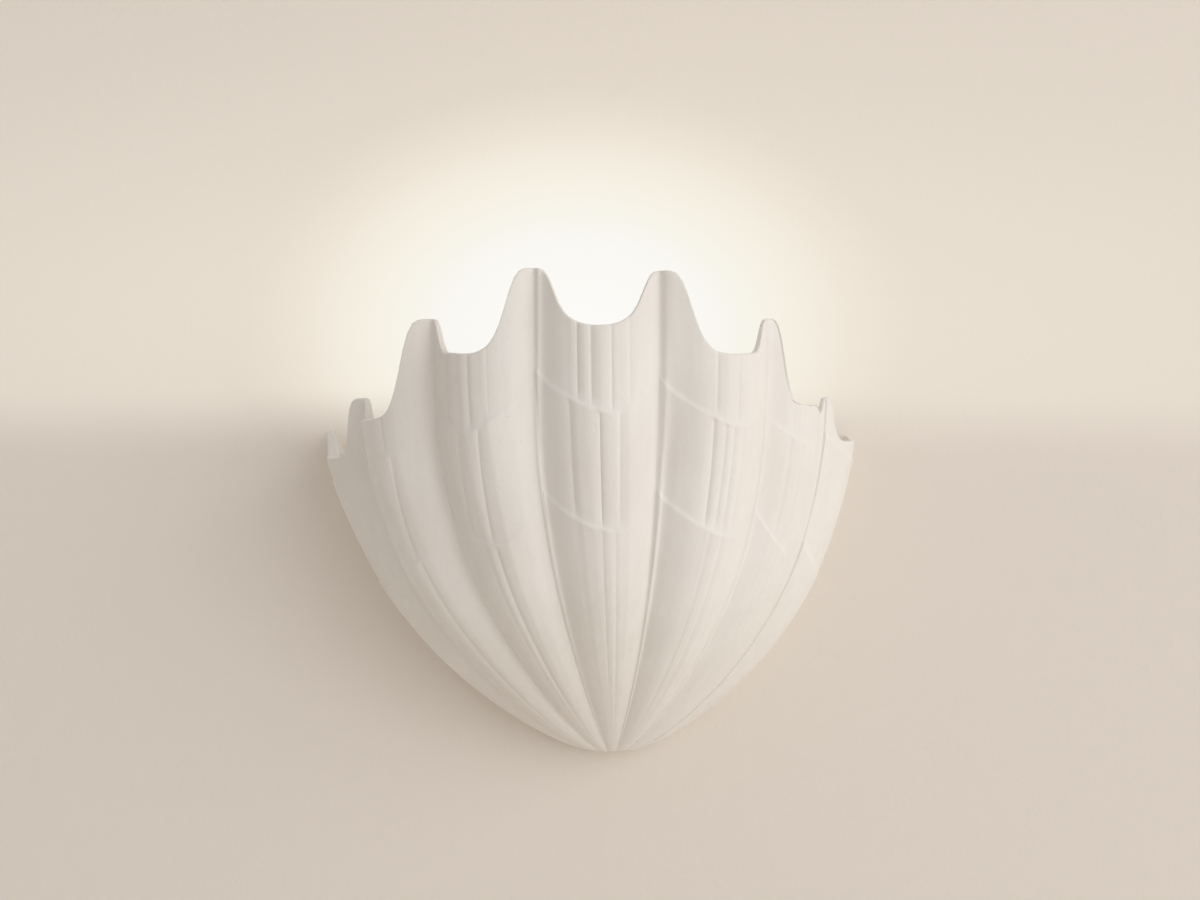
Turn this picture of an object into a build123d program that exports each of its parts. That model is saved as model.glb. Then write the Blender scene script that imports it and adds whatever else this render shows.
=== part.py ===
"""Shell wall sconce: a fluted half bowl hung on a steel wall plate, with a linear lamp across it.

The origin is the middle of the wall plate's two screw slots, on the wall's face.
The wall is the plane Y = 0, the sconce stands out from it along -Y, and +Z is up.
"""

import os
from math import asin, cos, radians, sin, tan

from build123d import *

os.makedirs("parts", exist_ok=True)

# ---------------------------------------------------------------- driving dimensions (mm)

# Shell: ribs fan out from a beak at the foot of the bowl to a scalloped rim
mount_height = 150.0  # from the beak's foot up to the wall plate's slots
rib_count = 7
shell_half_width = 151.0  # to the rear edge at the wall, where the flank stands upright
shell_reach = 133.0  # from the wall to the valleys between the front ribs
flank_height = 260.0  # above the beak, where the flank has turned upright
flank_power = 2.85
belly_root = 1.13
beak_half_width = 16.0
beak_skew = 10.0  # the beak sits this far to the right of the rim's middle
beak_crowding = 0.35  # the valleys draw together by this share of their angle at the beak
rib_rise = 0.217  # height of a rib's bow over its chord
rib_bands = 6
inner_rib_rise = 0.19
inner_rib_bands = 3
wing_flare = 33.0  # outward turn of the rear edges, at flank height
shell_wall = 6.0
shell_floor = 7.0
shell_sections = 7
section_spacing = 1.6  # sections crowd toward the beak by this power

# Rim: a tongue stands over each valley and the edge dips over each rib
rim_front = 246.0  # lowest point of the edge over the front rib, above the beak
rim_fall = 72.0  # how much lower the edge runs at the wall
front_tongue = 35.0
side_tongue = 21.0
tongue_sharpness = 3.3
rim_tilt = 0.02  # rise of the edge from left to right
rim_steps = 6  # points on the edge for each rib

# Rear edge and the pads that keep it off the wall
wall_gap = 1.0
pad_size = 5.0
pad_heights = (55.0, 160.0)  # above the beak

# Wall plate: a shallow pressed tray, an arm for the hooks over a web for the lamp
plate_sheet = 1.5
plate_depth = 10.0
arm_half_length = 97.0
arm_half_height = 18.0
web_half_width = 34.0
web_drop = 80.0
plate_corner = 6.0
plate_bend = 2.0
slot_spacing = 122.0
slot_length = 14.0
slot_width = 5.0

# Hook studs and the keyhole plates that hang on them
hook_spacing = 172.0
hook_height = 6.0  # above the slots' line
hook_shank = 5.0
hook_head = 10.0
hook_head_thickness = 2.0
hanger_sheet = 2.0
hanger_lift = 12.0  # the shell rises this far to come off its hooks
hanger_gap = 1.0  # between the wall plate and the hangers
hanger_inner = 76.0  # inner edge from the middle
hanger_outer = 118.0
hanger_half_height = 17.0
hanger_corner = 6.0
keyhole_diameter = 11.0
keyhole_slot = 5.6

# Lugs cast inside the shell, with brass inserts for the hanger screws
lug_inner = 99.0
lug_half_height = 19.0
lug_depth = 18.0
insert_x = 109.0
insert_spacing = 22.0
insert_width = 6.4  # across flats
insert_length = 12.0
screw_diameter = 4.0
screw_length = 10.0
screw_head = 7.0  # across flats
screw_head_height = 2.8

# Lamp bracket: a bent strip bolted to studs on the web, with a cross bar under the lamp
lamp_reach = 60.0  # from the wall to the lamp's axis
lamp_height = 38.0
shelf_drop = 18.0  # from the lamp's axis to the bar
bracket_sheet = 2.0
bracket_width = 26.0
bracket_foot = -22.0
bracket_bend = 3.0
bracket_corner = 4.0
bar_setback = 1.5  # of the bar's ends from the backs of the holders
bar_width = 26.0
stud_heights = (6.0, -12.0)
stud_length = 8.0
nut_width = 7.0
nut_height = 3.2

# Reflector: a folded trough between the holders
reflector_setback = 3.0  # from each holder
reflector_sheet = 0.8
reflector_floor = 22.0
reflector_wing = 30.0
reflector_slope = 36.0
rivet_spacing = 50.0
rivet_shank = 3.2
rivet_top = 6.0
rivet_top_height = 1.4

# Lamp: a linear tube between two ceramic bases
lamp_length = 117.6  # between its contact pins
tube_diameter = 11.0
pinch_length = 6.0  # from the tube's shoulder to the base
tube_wall = 1.0
tube_shoulder = 2.5
pinch_width = 8.4
pinch_thickness = 3.0
base_height = 7.4
base_width = 6.4
base_length = 11.0
pin_diameter = 3.6
pin_length = 3.8
filament_diameter = 1.4
filament_support = 8.4  # across the points of each support
filament_support_thickness = 0.6
filament_supports = 3

# Lampholders: a ceramic block at each end of the lamp
block_length = 22.0
block_width = 17.0
block_over_lamp = 7.0
block_chamfer = 2.0
cradle_width = 9.0
cradle_depth = 7.0
contact_diameter = 5.0
contact_bore_depth = 4.0
spring_bore = 7.0
flange_diameter = 6.4
flange_thickness = 1.2
tail_diameter = 2.4
tail_end = 2.0  # past the terminal's face
plug_thickness = 2.0
terminal_sheet = 0.8
terminal_width = 5.0
terminal_drop = 16.0  # below the lamp's axis
crimp_size = 3.4
crimp_length = 7.0
lamp_push = 3.5  # travel of the lamp and its sprung contact
spring_wall = 0.7
holder_screw = 3.0
holder_screw_head = 5.5  # across flats
holder_screw_head_height = 2.0
holder_screw_length = 10.0

# Terminal block on the wall plate
pole_count = 3
pole_pitch = 10.0
strip_margin = 2.5
strip_height = 16.0
strip_depth = 11.0
tower_size = 5.2
tower_height = 4.0
strip_z = -42.0
barrel_size = 5.0
barrel_bore = 3.0
barrel_length = 13.0
barrel_stand = 5.5  # from the strip's back to the barrels' axes
barrel_screw = 2.6
barrel_screw_length = 6.0
strip_screw = 2.9
strip_screw_head = 4.6
strip_screw_head_height = 1.8
strip_screw_tail = 1.0  # behind the plate

# Cable entry, and the earth stud beside it
grommet_z = -66.0
grommet_hole = 13.0
grommet_bore = 8.0
grommet_flange = 16.0
grommet_lip = 1.6
earth_x = 22.0
earth_z = -66.0
tag_diameter = 8.0
tag_neck = 3.4
tag_reach = 9.0
tag_thickness = 0.8

# Leads, as points that each route turns about
lead_diameter = 2.2
lead_sides = 6
lead_bend_share = 0.45  # of the shorter run, taken up by each bend
live_turns = [(-20, -24, -10), (-34, -38, 3), (-54, -49, 7), (-68, -55, 6.5)]
neutral_turns = [(15, -24, -17), (26, -35, -3), (50, -48, 6), (68, -55, 6.5)]
first_run = 14.0  # up from each pole
final_run = 16.0  # up to each contact's terminal, or down to the earth tag

# Fits
running_gap = 0.1
seat_gap = 0.05
free_gap = 0.3

# ---------------------------------------------------------------- values that follow

hanger_back = plate_depth + hanger_gap
hanger_face = hanger_back + hanger_sheet
hook_x = hook_spacing / 2
shelf_height = lamp_height - shelf_drop
shelf_underside = shelf_height - bracket_sheet
bracket_face = plate_depth + bracket_sheet
pin_tip = lamp_length / 2
cradle_end = pin_tip + seat_gap + running_gap
cradle_mouth = cradle_end - cradle_depth
block_back = cradle_mouth + block_length
screw_spacing = cradle_mouth + block_back
bar_half_length = block_back - bar_setback
reflector_half_length = cradle_mouth - reflector_setback
base_foot = pin_tip - pin_length - base_length
tube_end = base_foot - pinch_length
cavity_end = tube_end - 2 * tube_wall
bore_step = cradle_end + contact_bore_depth


def wall_plane(distance):
    """Upright plane at a distance from the wall, facing out, with local X and Y along X and Z."""
    return Plane.XZ.offset(distance)


def end_plane(side, distance):
    """Upright plane across the lamp's axis, facing away from the middle on one side."""
    return Plane(origin=(side * distance, -lamp_reach, lamp_height), x_dir=(0, side, 0), z_dir=(side, 0, 0))


def bar_plane(height):
    """Level plane centred under the lamp."""
    return Plane(origin=(0, -lamp_reach, height))


def finish(part, label):
    """Name a finished piece and write it."""
    part.label = label
    export_step(part, f"parts/{label}.step")


# ---------------------------------------------------------------- shell surface


def growth_left(height):
    """Share of the flank's height that is still above a point."""
    return 1 - min(height / flank_height, 1)


def valley_point(index, height, inset):
    """Plan point of one valley between ribs; the first and the last lie on the wall."""
    left = growth_left(height)
    growth = (1 - left**flank_power) ** (1 / belly_root)
    swing = 180 * index / rib_count - 90
    crowding = beak_crowding * left**3 * (1 - (swing / 90) ** 2)
    angle = radians(swing * (1 - crowding))
    size = beak_half_width + (shell_half_width - beak_half_width) * growth - inset
    if index in (0, rib_count):
        size += wing_flare * (height / flank_height) ** 3
    x = beak_skew * left**2 + size * sin(angle)
    return Vector(x, -size * shell_reach / shell_half_width * cos(angle))


def rib_points(start, end, rise, bands):
    """Plan points on a rib's outward arc, at the creases between its bands."""
    chord = end - start
    along = chord.normalized()
    outward = Vector(along.Y, -along.X)
    radius = chord.length * (1 + 4 * rise**2) / (8 * rise)
    half_turn = asin(chord.length / 2 / radius)
    centre = (start + end) / 2 + outward * (chord.length * rise - radius)
    turns = [half_turn * (2 * step / bands - 1) for step in range(bands + 1)]
    return [centre + along * radius * sin(turn) + outward * radius * cos(turn) for turn in turns]


def shell_section(height, lift, inset, rise, bands, behind):
    """Level section of the bowl, closed behind the wall."""
    valleys = [valley_point(index, height - lift, inset) for index in range(rib_count + 1)]
    with BuildSketch(Plane.XY.offset(height - mount_height)) as section:
        with BuildLine():
            for start, end in zip(valleys, valleys[1:]):
                Polyline(*rib_points(start, end, rise, bands))
            left, right = valleys[0], valleys[-1]
            Polyline(right, (right.X, behind), (left.X, behind), left)
        make_face()
    return section.sketch


def section_heights(start, stop):
    """Heights of the level sections, closer together near the beak."""
    steps = [step / (shell_sections - 1) for step in range(shell_sections)]
    return [start + (stop - start) * step**section_spacing for step in steps]


def rim_point(swing, spread):
    """Point of the scalloped edge at a plan angle, spread out from or in toward the middle."""
    angle = radians(swing)
    dip = rim_front - rim_fall * sin(angle) ** 2
    tongue = side_tongue + (front_tongue - side_tongue) * cos(angle) ** 2
    x = shell_half_width * sin(angle)
    y = -shell_reach * cos(angle)
    peak = abs(sin(rib_count * angle)) ** tongue_sharpness
    return Vector(x * spread, y * spread, dip + tongue * peak + rim_tilt * x - mount_height)


# ---------------------------------------------------------------- shell

shell_top = rim_front + front_tongue + free_gap
shell_overrun = 2 * plate_depth
rim_swings = [180 * step / (rim_steps * rib_count) - 90 for step in range(-2, rim_steps * rib_count + 3)]
inner_edge = Edge.make_spline([rim_point(swing, 0.3) for swing in rim_swings])
outer_edge = Edge.make_spline([rim_point(swing, 1.35) for swing in rim_swings])
rim_fan = Face.make_surface_from_curves(inner_edge, outer_edge)

with BuildPart() as bowl_space:
    loft(
        sections=[
            shell_section(height, shell_floor, shell_wall, inner_rib_rise, inner_rib_bands, 2 * shell_overrun)
            for height in section_heights(shell_floor, shell_top + shell_floor)
        ]
    )
    # Lugs stand in from the wall of the bowl, behind the hangers
    with BuildSketch(wall_plane(hanger_face)):
        for side in (-1, 1):
            with Locations((side * (lug_inner + shell_half_width) / 2, 0)):
                Rectangle(shell_half_width - lug_inner, 2 * lug_half_height)
    extrude(amount=lug_depth, mode=Mode.SUBTRACT)

with BuildPart() as shell_body:
    loft(
        sections=[
            shell_section(height, 0, 0, rib_rise, rib_bands, shell_overrun)
            for height in section_heights(0, shell_top)
        ]
    )
    add(bowl_space.part, mode=Mode.SUBTRACT)
    split(bisect_by=wall_plane(wall_gap), keep=Keep.TOP)
    extrude(to_extrude=rim_fan, amount=shell_top, dir=(0, 0, 1), mode=Mode.SUBTRACT)
    with BuildSketch(wall_plane(hanger_face)):
        with GridLocations(2 * insert_x, insert_spacing, 2, 2):
            RegularPolygon(insert_width / 2 + seat_gap, 6, major_radius=False)
    extrude(amount=insert_length, mode=Mode.SUBTRACT)
finish(shell_body.part, "shell_body")

# ---------------------------------------------------------------- hangers

with BuildPart() as hanger_inserts:
    with BuildSketch(wall_plane(hanger_face)):
        with GridLocations(2 * insert_x, insert_spacing, 2, 2):
            RegularPolygon(insert_width / 2, 6, major_radius=False)
            Circle(screw_diameter / 2 + seat_gap, mode=Mode.SUBTRACT)
    extrude(amount=insert_length)
finish(hanger_inserts.part, "hanger_inserts")

keyhole_z = hook_height + hook_shank / 2 + seat_gap - keyhole_slot / 2

with BuildPart() as hanger_plates:
    with BuildSketch(wall_plane(hanger_back)) as hanger_outline:
        for side in (-1, 1):
            with Locations((side * (hanger_inner + hanger_outer) / 2, 0)):
                Rectangle(hanger_outer - hanger_inner, 2 * hanger_half_height)
        chamfer(hanger_outline.vertices(), hanger_corner)
        for side in (-1, 1):
            with Locations((side * hook_x, keyhole_z - hanger_lift)):
                Circle(keyhole_diameter / 2, mode=Mode.SUBTRACT)
            with Locations((side * hook_x, keyhole_z - hanger_lift / 2)):
                SlotCenterToCenter(hanger_lift, keyhole_slot, rotation=90, mode=Mode.SUBTRACT)
    extrude(amount=hanger_sheet)
    with BuildSketch(wall_plane(hanger_back)):
        with GridLocations(2 * insert_x, insert_spacing, 2, 2):
            Circle(screw_diameter / 2 + running_gap)
    extrude(amount=hanger_sheet, mode=Mode.SUBTRACT)
finish(hanger_plates.part, "hanger_plates")

with BuildPart() as hanger_screws:
    with BuildSketch(wall_plane(hanger_back)):
        with GridLocations(2 * insert_x, insert_spacing, 2, 2):
            Circle(screw_diameter / 2)
    extrude(amount=screw_length)
    with BuildSketch(wall_plane(hanger_back)):
        with GridLocations(2 * insert_x, insert_spacing, 2, 2):
            RegularPolygon(screw_head / 2, 6, major_radius=False)
    extrude(amount=-screw_head_height)
finish(hanger_screws.part, "hanger_screws")

with BuildPart() as wall_pads:
    with BuildSketch(wall_plane(0)):
        for height in pad_heights:
            for index in (0, rib_count):
                with Locations((valley_point(index, height, shell_wall / 2).X, height - mount_height)):
                    Rectangle(pad_size, pad_size)
    extrude(amount=wall_gap)
finish(wall_pads.part, "wall_pads")

# ---------------------------------------------------------------- wall plate

with BuildPart() as wall_plate:
    with BuildSketch(wall_plane(0)) as plate_outline:
        Rectangle(2 * arm_half_length, 2 * arm_half_height)
        with Locations((0, (arm_half_height - web_drop) / 2)):
            Rectangle(2 * web_half_width, arm_half_height + web_drop)
        chamfer(plate_outline.vertices(), plate_corner)
    extrude(amount=plate_depth)
    chamfer(wall_plate.faces().sort_by(Axis.Y)[0].edges(), plate_bend)
    offset(openings=wall_plate.faces().sort_by(Axis.Y)[-1], amount=-plate_sheet)
    with BuildSketch(wall_plane(plate_depth)):
        with GridLocations(slot_spacing, 0, 2, 1):
            SlotOverall(slot_length, slot_width)
        with Locations((0, hook_height)):
            with GridLocations(hook_spacing, 0, 2, 1):
                Circle(hook_shank / 2 + seat_gap)
        with Locations((0, grommet_z)):
            Circle(grommet_hole / 2)
        with Locations((0, strip_z)):
            with GridLocations(pole_pitch, 0, pole_count - 1, 1):
                Circle(strip_screw / 2 + seat_gap)
    extrude(amount=-plate_depth, mode=Mode.SUBTRACT)
finish(wall_plate.part, "wall_plate")

with BuildPart() as hook_studs:
    for side in (-1, 1):
        for start, diameter, length in (
            (plate_depth - plate_sheet, hook_shank, plate_sheet + hanger_gap + hanger_sheet + free_gap),
            (hanger_face + free_gap, hook_head, hook_head_thickness),
        ):
            with BuildSketch(wall_plane(start)):
                with Locations((side * hook_x, hook_height)):
                    Circle(diameter / 2)
            extrude(amount=length)
finish(hook_studs.part, "hook_studs")

with BuildPart() as cable_grommet:
    with BuildSketch(wall_plane(plate_depth - plate_sheet - grommet_lip)):
        with Locations((0, grommet_z)):
            Circle(grommet_flange / 2)
    extrude(amount=grommet_lip)
    with BuildSketch(wall_plane(plate_depth)):
        with Locations((0, grommet_z)):
            Circle(grommet_flange / 2)
    extrude(amount=grommet_lip)
    with BuildSketch(wall_plane(plate_depth - plate_sheet)):
        with Locations((0, grommet_z)):
            Circle(grommet_hole / 2)
    extrude(amount=plate_sheet)
    with BuildSketch(wall_plane(plate_depth - plate_sheet - grommet_lip)):
        with Locations((0, grommet_z)):
            Circle(grommet_bore / 2)
    extrude(amount=plate_sheet + 2 * grommet_lip, mode=Mode.SUBTRACT)
finish(cable_grommet.part, "cable_grommet")

# ---------------------------------------------------------------- lamp bracket and its fixings

bracket_tip = lamp_reach + bar_width / 2

with BuildPart() as lamp_bracket:
    with BuildSketch(Plane.YZ) as bracket_side:
        with BuildLine():
            Polyline(
                (-plate_depth, bracket_foot),
                (-plate_depth, shelf_height),
                (-bracket_tip, shelf_height),
                (-bracket_tip, shelf_underside),
                (-bracket_face, shelf_underside),
                (-bracket_face, bracket_foot),
                close=True,
            )
        make_face()
        inner_corner = bracket_side.vertices().sort_by_distance((-bracket_face, shelf_underside))[0]
        fillet(inner_corner, bracket_bend)
        outer_corner = bracket_side.vertices().sort_by_distance((-plate_depth, shelf_height))[0]
        fillet(outer_corner, bracket_bend + bracket_sheet)
    extrude(amount=bracket_width / 2, both=True)
    foot_edges = lamp_bracket.edges().filter_by(Axis.Y).group_by(Axis.Z)[0]
    chamfer(foot_edges, bracket_corner)
    with BuildSketch(bar_plane(shelf_underside)) as bar_outline:
        Rectangle(2 * bar_half_length, bar_width)
        chamfer(bar_outline.vertices(), bracket_corner)
    extrude(amount=bracket_sheet)
    with BuildSketch(bar_plane(shelf_height)):
        with GridLocations(screw_spacing, 0, 2, 1):
            Circle(holder_screw / 2 + running_gap)
        with GridLocations(rivet_spacing, 0, 2, 1):
            Circle(rivet_shank / 2 + seat_gap)
    extrude(amount=-bracket_sheet, mode=Mode.SUBTRACT)
    with BuildSketch(wall_plane(bracket_face)):
        for height in stud_heights:
            with Locations((0, height)):
                Circle(screw_diameter / 2 + running_gap)
    extrude(amount=-bracket_sheet, mode=Mode.SUBTRACT)
finish(lamp_bracket.part, "lamp_bracket")

stud_places = [(0, height) for height in stud_heights]

with BuildPart() as bracket_studs:
    with BuildSketch(wall_plane(plate_depth)):
        with Locations(*stud_places):
            Circle(screw_diameter / 2)
    extrude(amount=stud_length)
finish(bracket_studs.part, "bracket_studs")

with BuildPart() as bracket_nuts:
    with BuildSketch(wall_plane(bracket_face)):
        with Locations(*stud_places):
            RegularPolygon(nut_width / 2, 6, major_radius=False)
            Circle(screw_diameter / 2 + seat_gap, mode=Mode.SUBTRACT)
    extrude(amount=nut_height)
finish(bracket_nuts.part, "bracket_nuts")

# ---------------------------------------------------------------- reflector

wing_run = reflector_wing * cos(radians(reflector_slope))
wing_rise = reflector_wing * sin(radians(reflector_slope))
fold_shift = reflector_sheet * tan(radians(reflector_slope) / 2)
edge_run = reflector_sheet * sin(radians(reflector_slope))
edge_rise = reflector_sheet * cos(radians(reflector_slope))
half_floor = reflector_floor / 2

with BuildPart() as reflector:
    with BuildSketch(Plane(origin=(0, -lamp_reach, shelf_height), x_dir=(0, 1, 0), z_dir=(1, 0, 0))):
        with BuildLine():
            Polyline(
                (-half_floor - wing_run, wing_rise),
                (-half_floor, 0),
                (half_floor, 0),
                (half_floor + wing_run, wing_rise),
                (half_floor + wing_run - edge_run, wing_rise + edge_rise),
                (half_floor - fold_shift, reflector_sheet),
                (-half_floor + fold_shift, reflector_sheet),
                (-half_floor - wing_run + edge_run, wing_rise + edge_rise),
                close=True,
            )
        make_face()
    extrude(amount=reflector_half_length, both=True)
    with BuildSketch(bar_plane(shelf_height + reflector_sheet)):
        with GridLocations(rivet_spacing, 0, 2, 1):
            Circle(rivet_shank / 2 + seat_gap)
    extrude(amount=-reflector_sheet, mode=Mode.SUBTRACT)
finish(reflector.part, "reflector")

with BuildPart() as reflector_rivets:
    for foot, diameter, height in (
        (shelf_height + reflector_sheet, rivet_top, rivet_top_height),
        (shelf_underside, rivet_shank, bracket_sheet + reflector_sheet),
    ):
        with BuildSketch(bar_plane(foot)):
            with GridLocations(rivet_spacing, 0, 2, 1):
                Circle(diameter / 2)
        extrude(amount=height)
finish(reflector_rivets.part, "reflector_rivets")

# ---------------------------------------------------------------- lampholders

block_height = lamp_height + block_over_lamp - shelf_height


def lampholder(side):
    """Ceramic block with an open cradle for the lamp's end and a stepped bore for its contact."""
    middle = side * (cradle_mouth + block_length / 2)
    with BuildPart() as block:
        with BuildSketch(bar_plane(shelf_height)):
            with Locations((middle, 0)):
                Rectangle(block_length, block_width)
        extrude(amount=block_height)
        chamfer(block.edges().group_by(Axis.Z)[-1], block_chamfer)
        with BuildSketch(end_plane(side, cradle_mouth)):
            with Locations((0, (block_over_lamp - cradle_width / 2) / 2)):
                Rectangle(cradle_width, block_over_lamp + cradle_width / 2)
        extrude(amount=cradle_depth, mode=Mode.SUBTRACT)
        with BuildSketch(end_plane(side, cradle_end)):
            Circle(contact_diameter / 2 + running_gap)
        extrude(amount=contact_bore_depth, mode=Mode.SUBTRACT)
        with BuildSketch(end_plane(side, bore_step)):
            Circle(spring_bore / 2)
        extrude(amount=block_back - bore_step, mode=Mode.SUBTRACT)
        with BuildSketch(bar_plane(shelf_height)):
            with Locations((middle, 0)):
                Circle(holder_screw / 2 + seat_gap)
        extrude(amount=holder_screw_length - bracket_sheet + running_gap, mode=Mode.SUBTRACT)
    return block.part


def contact(side, body_diameter, body_length):
    """Turned contact with a nose toward the lamp, a wider body behind the step and a thin tail."""
    nose = bore_step + seat_gap - pin_tip - seat_gap
    tail_start = bore_step + seat_gap + body_length
    with BuildPart() as turned:
        for start, diameter, length in (
            (pin_tip + seat_gap, contact_diameter, nose),
            (bore_step + seat_gap, body_diameter, body_length),
            (tail_start, tail_diameter, block_back + terminal_sheet + tail_end - tail_start),
        ):
            with BuildSketch(end_plane(side, start)):
                Circle(diameter / 2)
            extrude(amount=length)
    return turned.part


finish(lampholder(-1), "lampholder_left")
finish(lampholder(1), "lampholder_right")
plug_start = block_back - plug_thickness
finish(contact(-1, flange_diameter, plug_start - bore_step - seat_gap), "fixed_contact")
finish(contact(1, flange_diameter, flange_thickness), "sprung_contact")

spring_start = bore_step + seat_gap + flange_thickness
with BuildPart() as contact_spring:
    with BuildSketch(end_plane(1, spring_start)):
        Circle(flange_diameter / 2)
        Circle(flange_diameter / 2 - spring_wall, mode=Mode.SUBTRACT)
    extrude(amount=plug_start - spring_start)
finish(contact_spring.part, "contact_spring")

crimp_reach = block_back + terminal_sheet / 2 + crimp_size / 2
crimp_bore = lead_diameter + 2 * seat_gap
with BuildPart() as contact_terminals:
    for side in (-1, 1):
        with BuildSketch(end_plane(side, plug_start)):
            Circle(spring_bore / 2 - seat_gap)
        extrude(amount=plug_thickness)
        with BuildSketch(end_plane(side, block_back)):
            with Locations((0, (terminal_width / 2 - terminal_drop) / 2)):
                Rectangle(terminal_width, terminal_drop + terminal_width / 2)
        extrude(amount=terminal_sheet)
        with BuildSketch(bar_plane(lamp_height - terminal_drop)):
            with Locations((side * crimp_reach, 0)):
                Rectangle(crimp_size, crimp_size)
        extrude(amount=crimp_length)
        with BuildSketch(bar_plane(lamp_height - terminal_drop)):
            with Locations((side * crimp_reach, 0)):
                Rectangle(crimp_bore, crimp_bore)
        extrude(amount=crimp_length, mode=Mode.SUBTRACT)
        with BuildSketch(end_plane(side, plug_start)):
            Circle(tail_diameter / 2 + running_gap)
        extrude(amount=plug_thickness + terminal_sheet, mode=Mode.SUBTRACT)
finish(contact_terminals.part, "contact_terminals")

with BuildPart() as holder_screws:
    with BuildSketch(bar_plane(shelf_underside)):
        with GridLocations(screw_spacing, 0, 2, 1):
            Circle(holder_screw / 2)
    extrude(amount=holder_screw_length)
    with BuildSketch(bar_plane(shelf_underside)):
        with GridLocations(screw_spacing, 0, 2, 1):
            RegularPolygon(holder_screw_head / 2, 6, major_radius=False)
    extrude(amount=-holder_screw_head_height)
finish(holder_screws.part, "holder_screws")

# ---------------------------------------------------------------- lamp

with BuildPart() as lamp_tube:
    with BuildSketch(end_plane(1, 0)):
        Circle(tube_diameter / 2)
    extrude(amount=tube_end, both=True)
    chamfer(lamp_tube.edges().filter_by(GeomType.CIRCLE), tube_shoulder)
    with BuildSketch(end_plane(1, 0)):
        Rectangle(pinch_thickness, pinch_width)
    extrude(amount=base_foot, both=True)
    with BuildSketch(end_plane(1, 0)):
        Circle(tube_diameter / 2 - tube_wall)
    extrude(amount=cavity_end, both=True, mode=Mode.SUBTRACT)
finish(lamp_tube.part, "lamp_tube")

with BuildPart() as filament:
    with BuildSketch(end_plane(1, 0)):
        RegularPolygon(filament_diameter / 2, 6)
    extrude(amount=cavity_end, both=True)
    support_pitch = 2 * cavity_end / (filament_supports + 1)
    for step in range(filament_supports):
        with BuildSketch(end_plane(1, support_pitch * (step + 1) - cavity_end)):
            RegularPolygon(filament_support / 2, 3)
        extrude(amount=filament_support_thickness)
finish(filament.part, "filament")

with BuildPart() as lamp_bases:
    for side in (-1, 1):
        with BuildSketch(end_plane(side, base_foot)):
            Rectangle(base_width, base_height)
        extrude(amount=base_length)
finish(lamp_bases.part, "lamp_bases")

with BuildPart() as lamp_pins:
    for side in (-1, 1):
        with BuildSketch(end_plane(side, pin_tip - pin_length)):
            Circle(pin_diameter / 2)
        extrude(amount=pin_length)
finish(lamp_pins.part, "lamp_pins")

# ---------------------------------------------------------------- terminal block

strip_face = plate_depth + strip_depth
barrel_line = plate_depth + barrel_stand
screw_tip = barrel_line + lead_diameter / 2 + seat_gap
barrel_screw_offset = barrel_length / 4
strip_length = pole_count * pole_pitch + 2 * strip_margin


def strip_plane(distance):
    """Upright plane centred on the terminal block."""
    return Plane(origin=(0, -distance, strip_z), x_dir=(1, 0, 0), z_dir=(0, -1, 0))


def pole_plane(height):
    """Level plane through the barrels' axes."""
    return Plane(origin=(0, -barrel_line, height))


with BuildPart() as terminal_block:
    with BuildSketch(strip_plane(plate_depth)):
        Rectangle(strip_length, strip_height)
    extrude(amount=strip_depth)
    with BuildSketch(strip_plane(strip_face)):
        with GridLocations(pole_pitch, 0, pole_count, 1):
            Rectangle(tower_size, strip_height)
    extrude(amount=tower_height)
    with BuildSketch(pole_plane(strip_z - strip_height / 2)):
        with GridLocations(pole_pitch, 0, pole_count, 1):
            Rectangle(barrel_size + 2 * seat_gap, barrel_size + 2 * seat_gap)
    extrude(amount=strip_height, mode=Mode.SUBTRACT)
    with BuildSketch(strip_plane(strip_face + tower_height)):
        with Locations((0, barrel_screw_offset)):
            with GridLocations(pole_pitch, 0, pole_count, 1):
                Circle(barrel_screw / 2 + free_gap)
    extrude(amount=-tower_height - strip_depth + barrel_stand, mode=Mode.SUBTRACT)
    with BuildSketch(strip_plane(strip_face)):
        with GridLocations(pole_pitch, 0, pole_count - 1, 1):
            Circle(strip_screw / 2 + running_gap)
    extrude(amount=-strip_depth, mode=Mode.SUBTRACT)
finish(terminal_block.part, "terminal_block")

with BuildPart() as terminal_barrels:
    with BuildSketch(pole_plane(strip_z - barrel_length / 2)):
        with GridLocations(pole_pitch, 0, pole_count, 1):
            Rectangle(barrel_size, barrel_size)
            Rectangle(barrel_bore, barrel_bore, mode=Mode.SUBTRACT)
    extrude(amount=barrel_length)
    with BuildSketch(strip_plane(barrel_line)):
        with Locations((0, barrel_screw_offset)):
            with GridLocations(pole_pitch, 0, pole_count, 1):
                Circle(barrel_screw / 2 + seat_gap)
    extrude(amount=barrel_size, mode=Mode.SUBTRACT)
finish(terminal_barrels.part, "terminal_barrels")

with BuildPart() as terminal_screws:
    with BuildSketch(strip_plane(screw_tip)):
        with Locations((0, barrel_screw_offset)):
            with GridLocations(pole_pitch, 0, pole_count, 1):
                Circle(barrel_screw / 2)
    extrude(amount=barrel_screw_length)
finish(terminal_screws.part, "terminal_screws")

with BuildPart() as block_screws:
    with BuildSketch(strip_plane(plate_depth - plate_sheet - strip_screw_tail)):
        with GridLocations(pole_pitch, 0, pole_count - 1, 1):
            Circle(strip_screw / 2)
    extrude(amount=strip_depth + plate_sheet + strip_screw_tail)
    with BuildSketch(strip_plane(strip_face)):
        with GridLocations(pole_pitch, 0, pole_count - 1, 1):
            Circle(strip_screw_head / 2)
    extrude(amount=strip_screw_head_height)
finish(block_screws.part, "block_screws")

# ---------------------------------------------------------------- earth stud


def earth_plane(distance):
    """Upright plane centred on the earth stud."""
    return Plane(origin=(earth_x, -distance, earth_z), x_dir=(1, 0, 0), z_dir=(0, -1, 0))


with BuildPart() as earth_stud:
    with BuildSketch(earth_plane(plate_depth)):
        Circle(screw_diameter / 2)
    extrude(amount=stud_length)
finish(earth_stud.part, "earth_stud")

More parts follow.
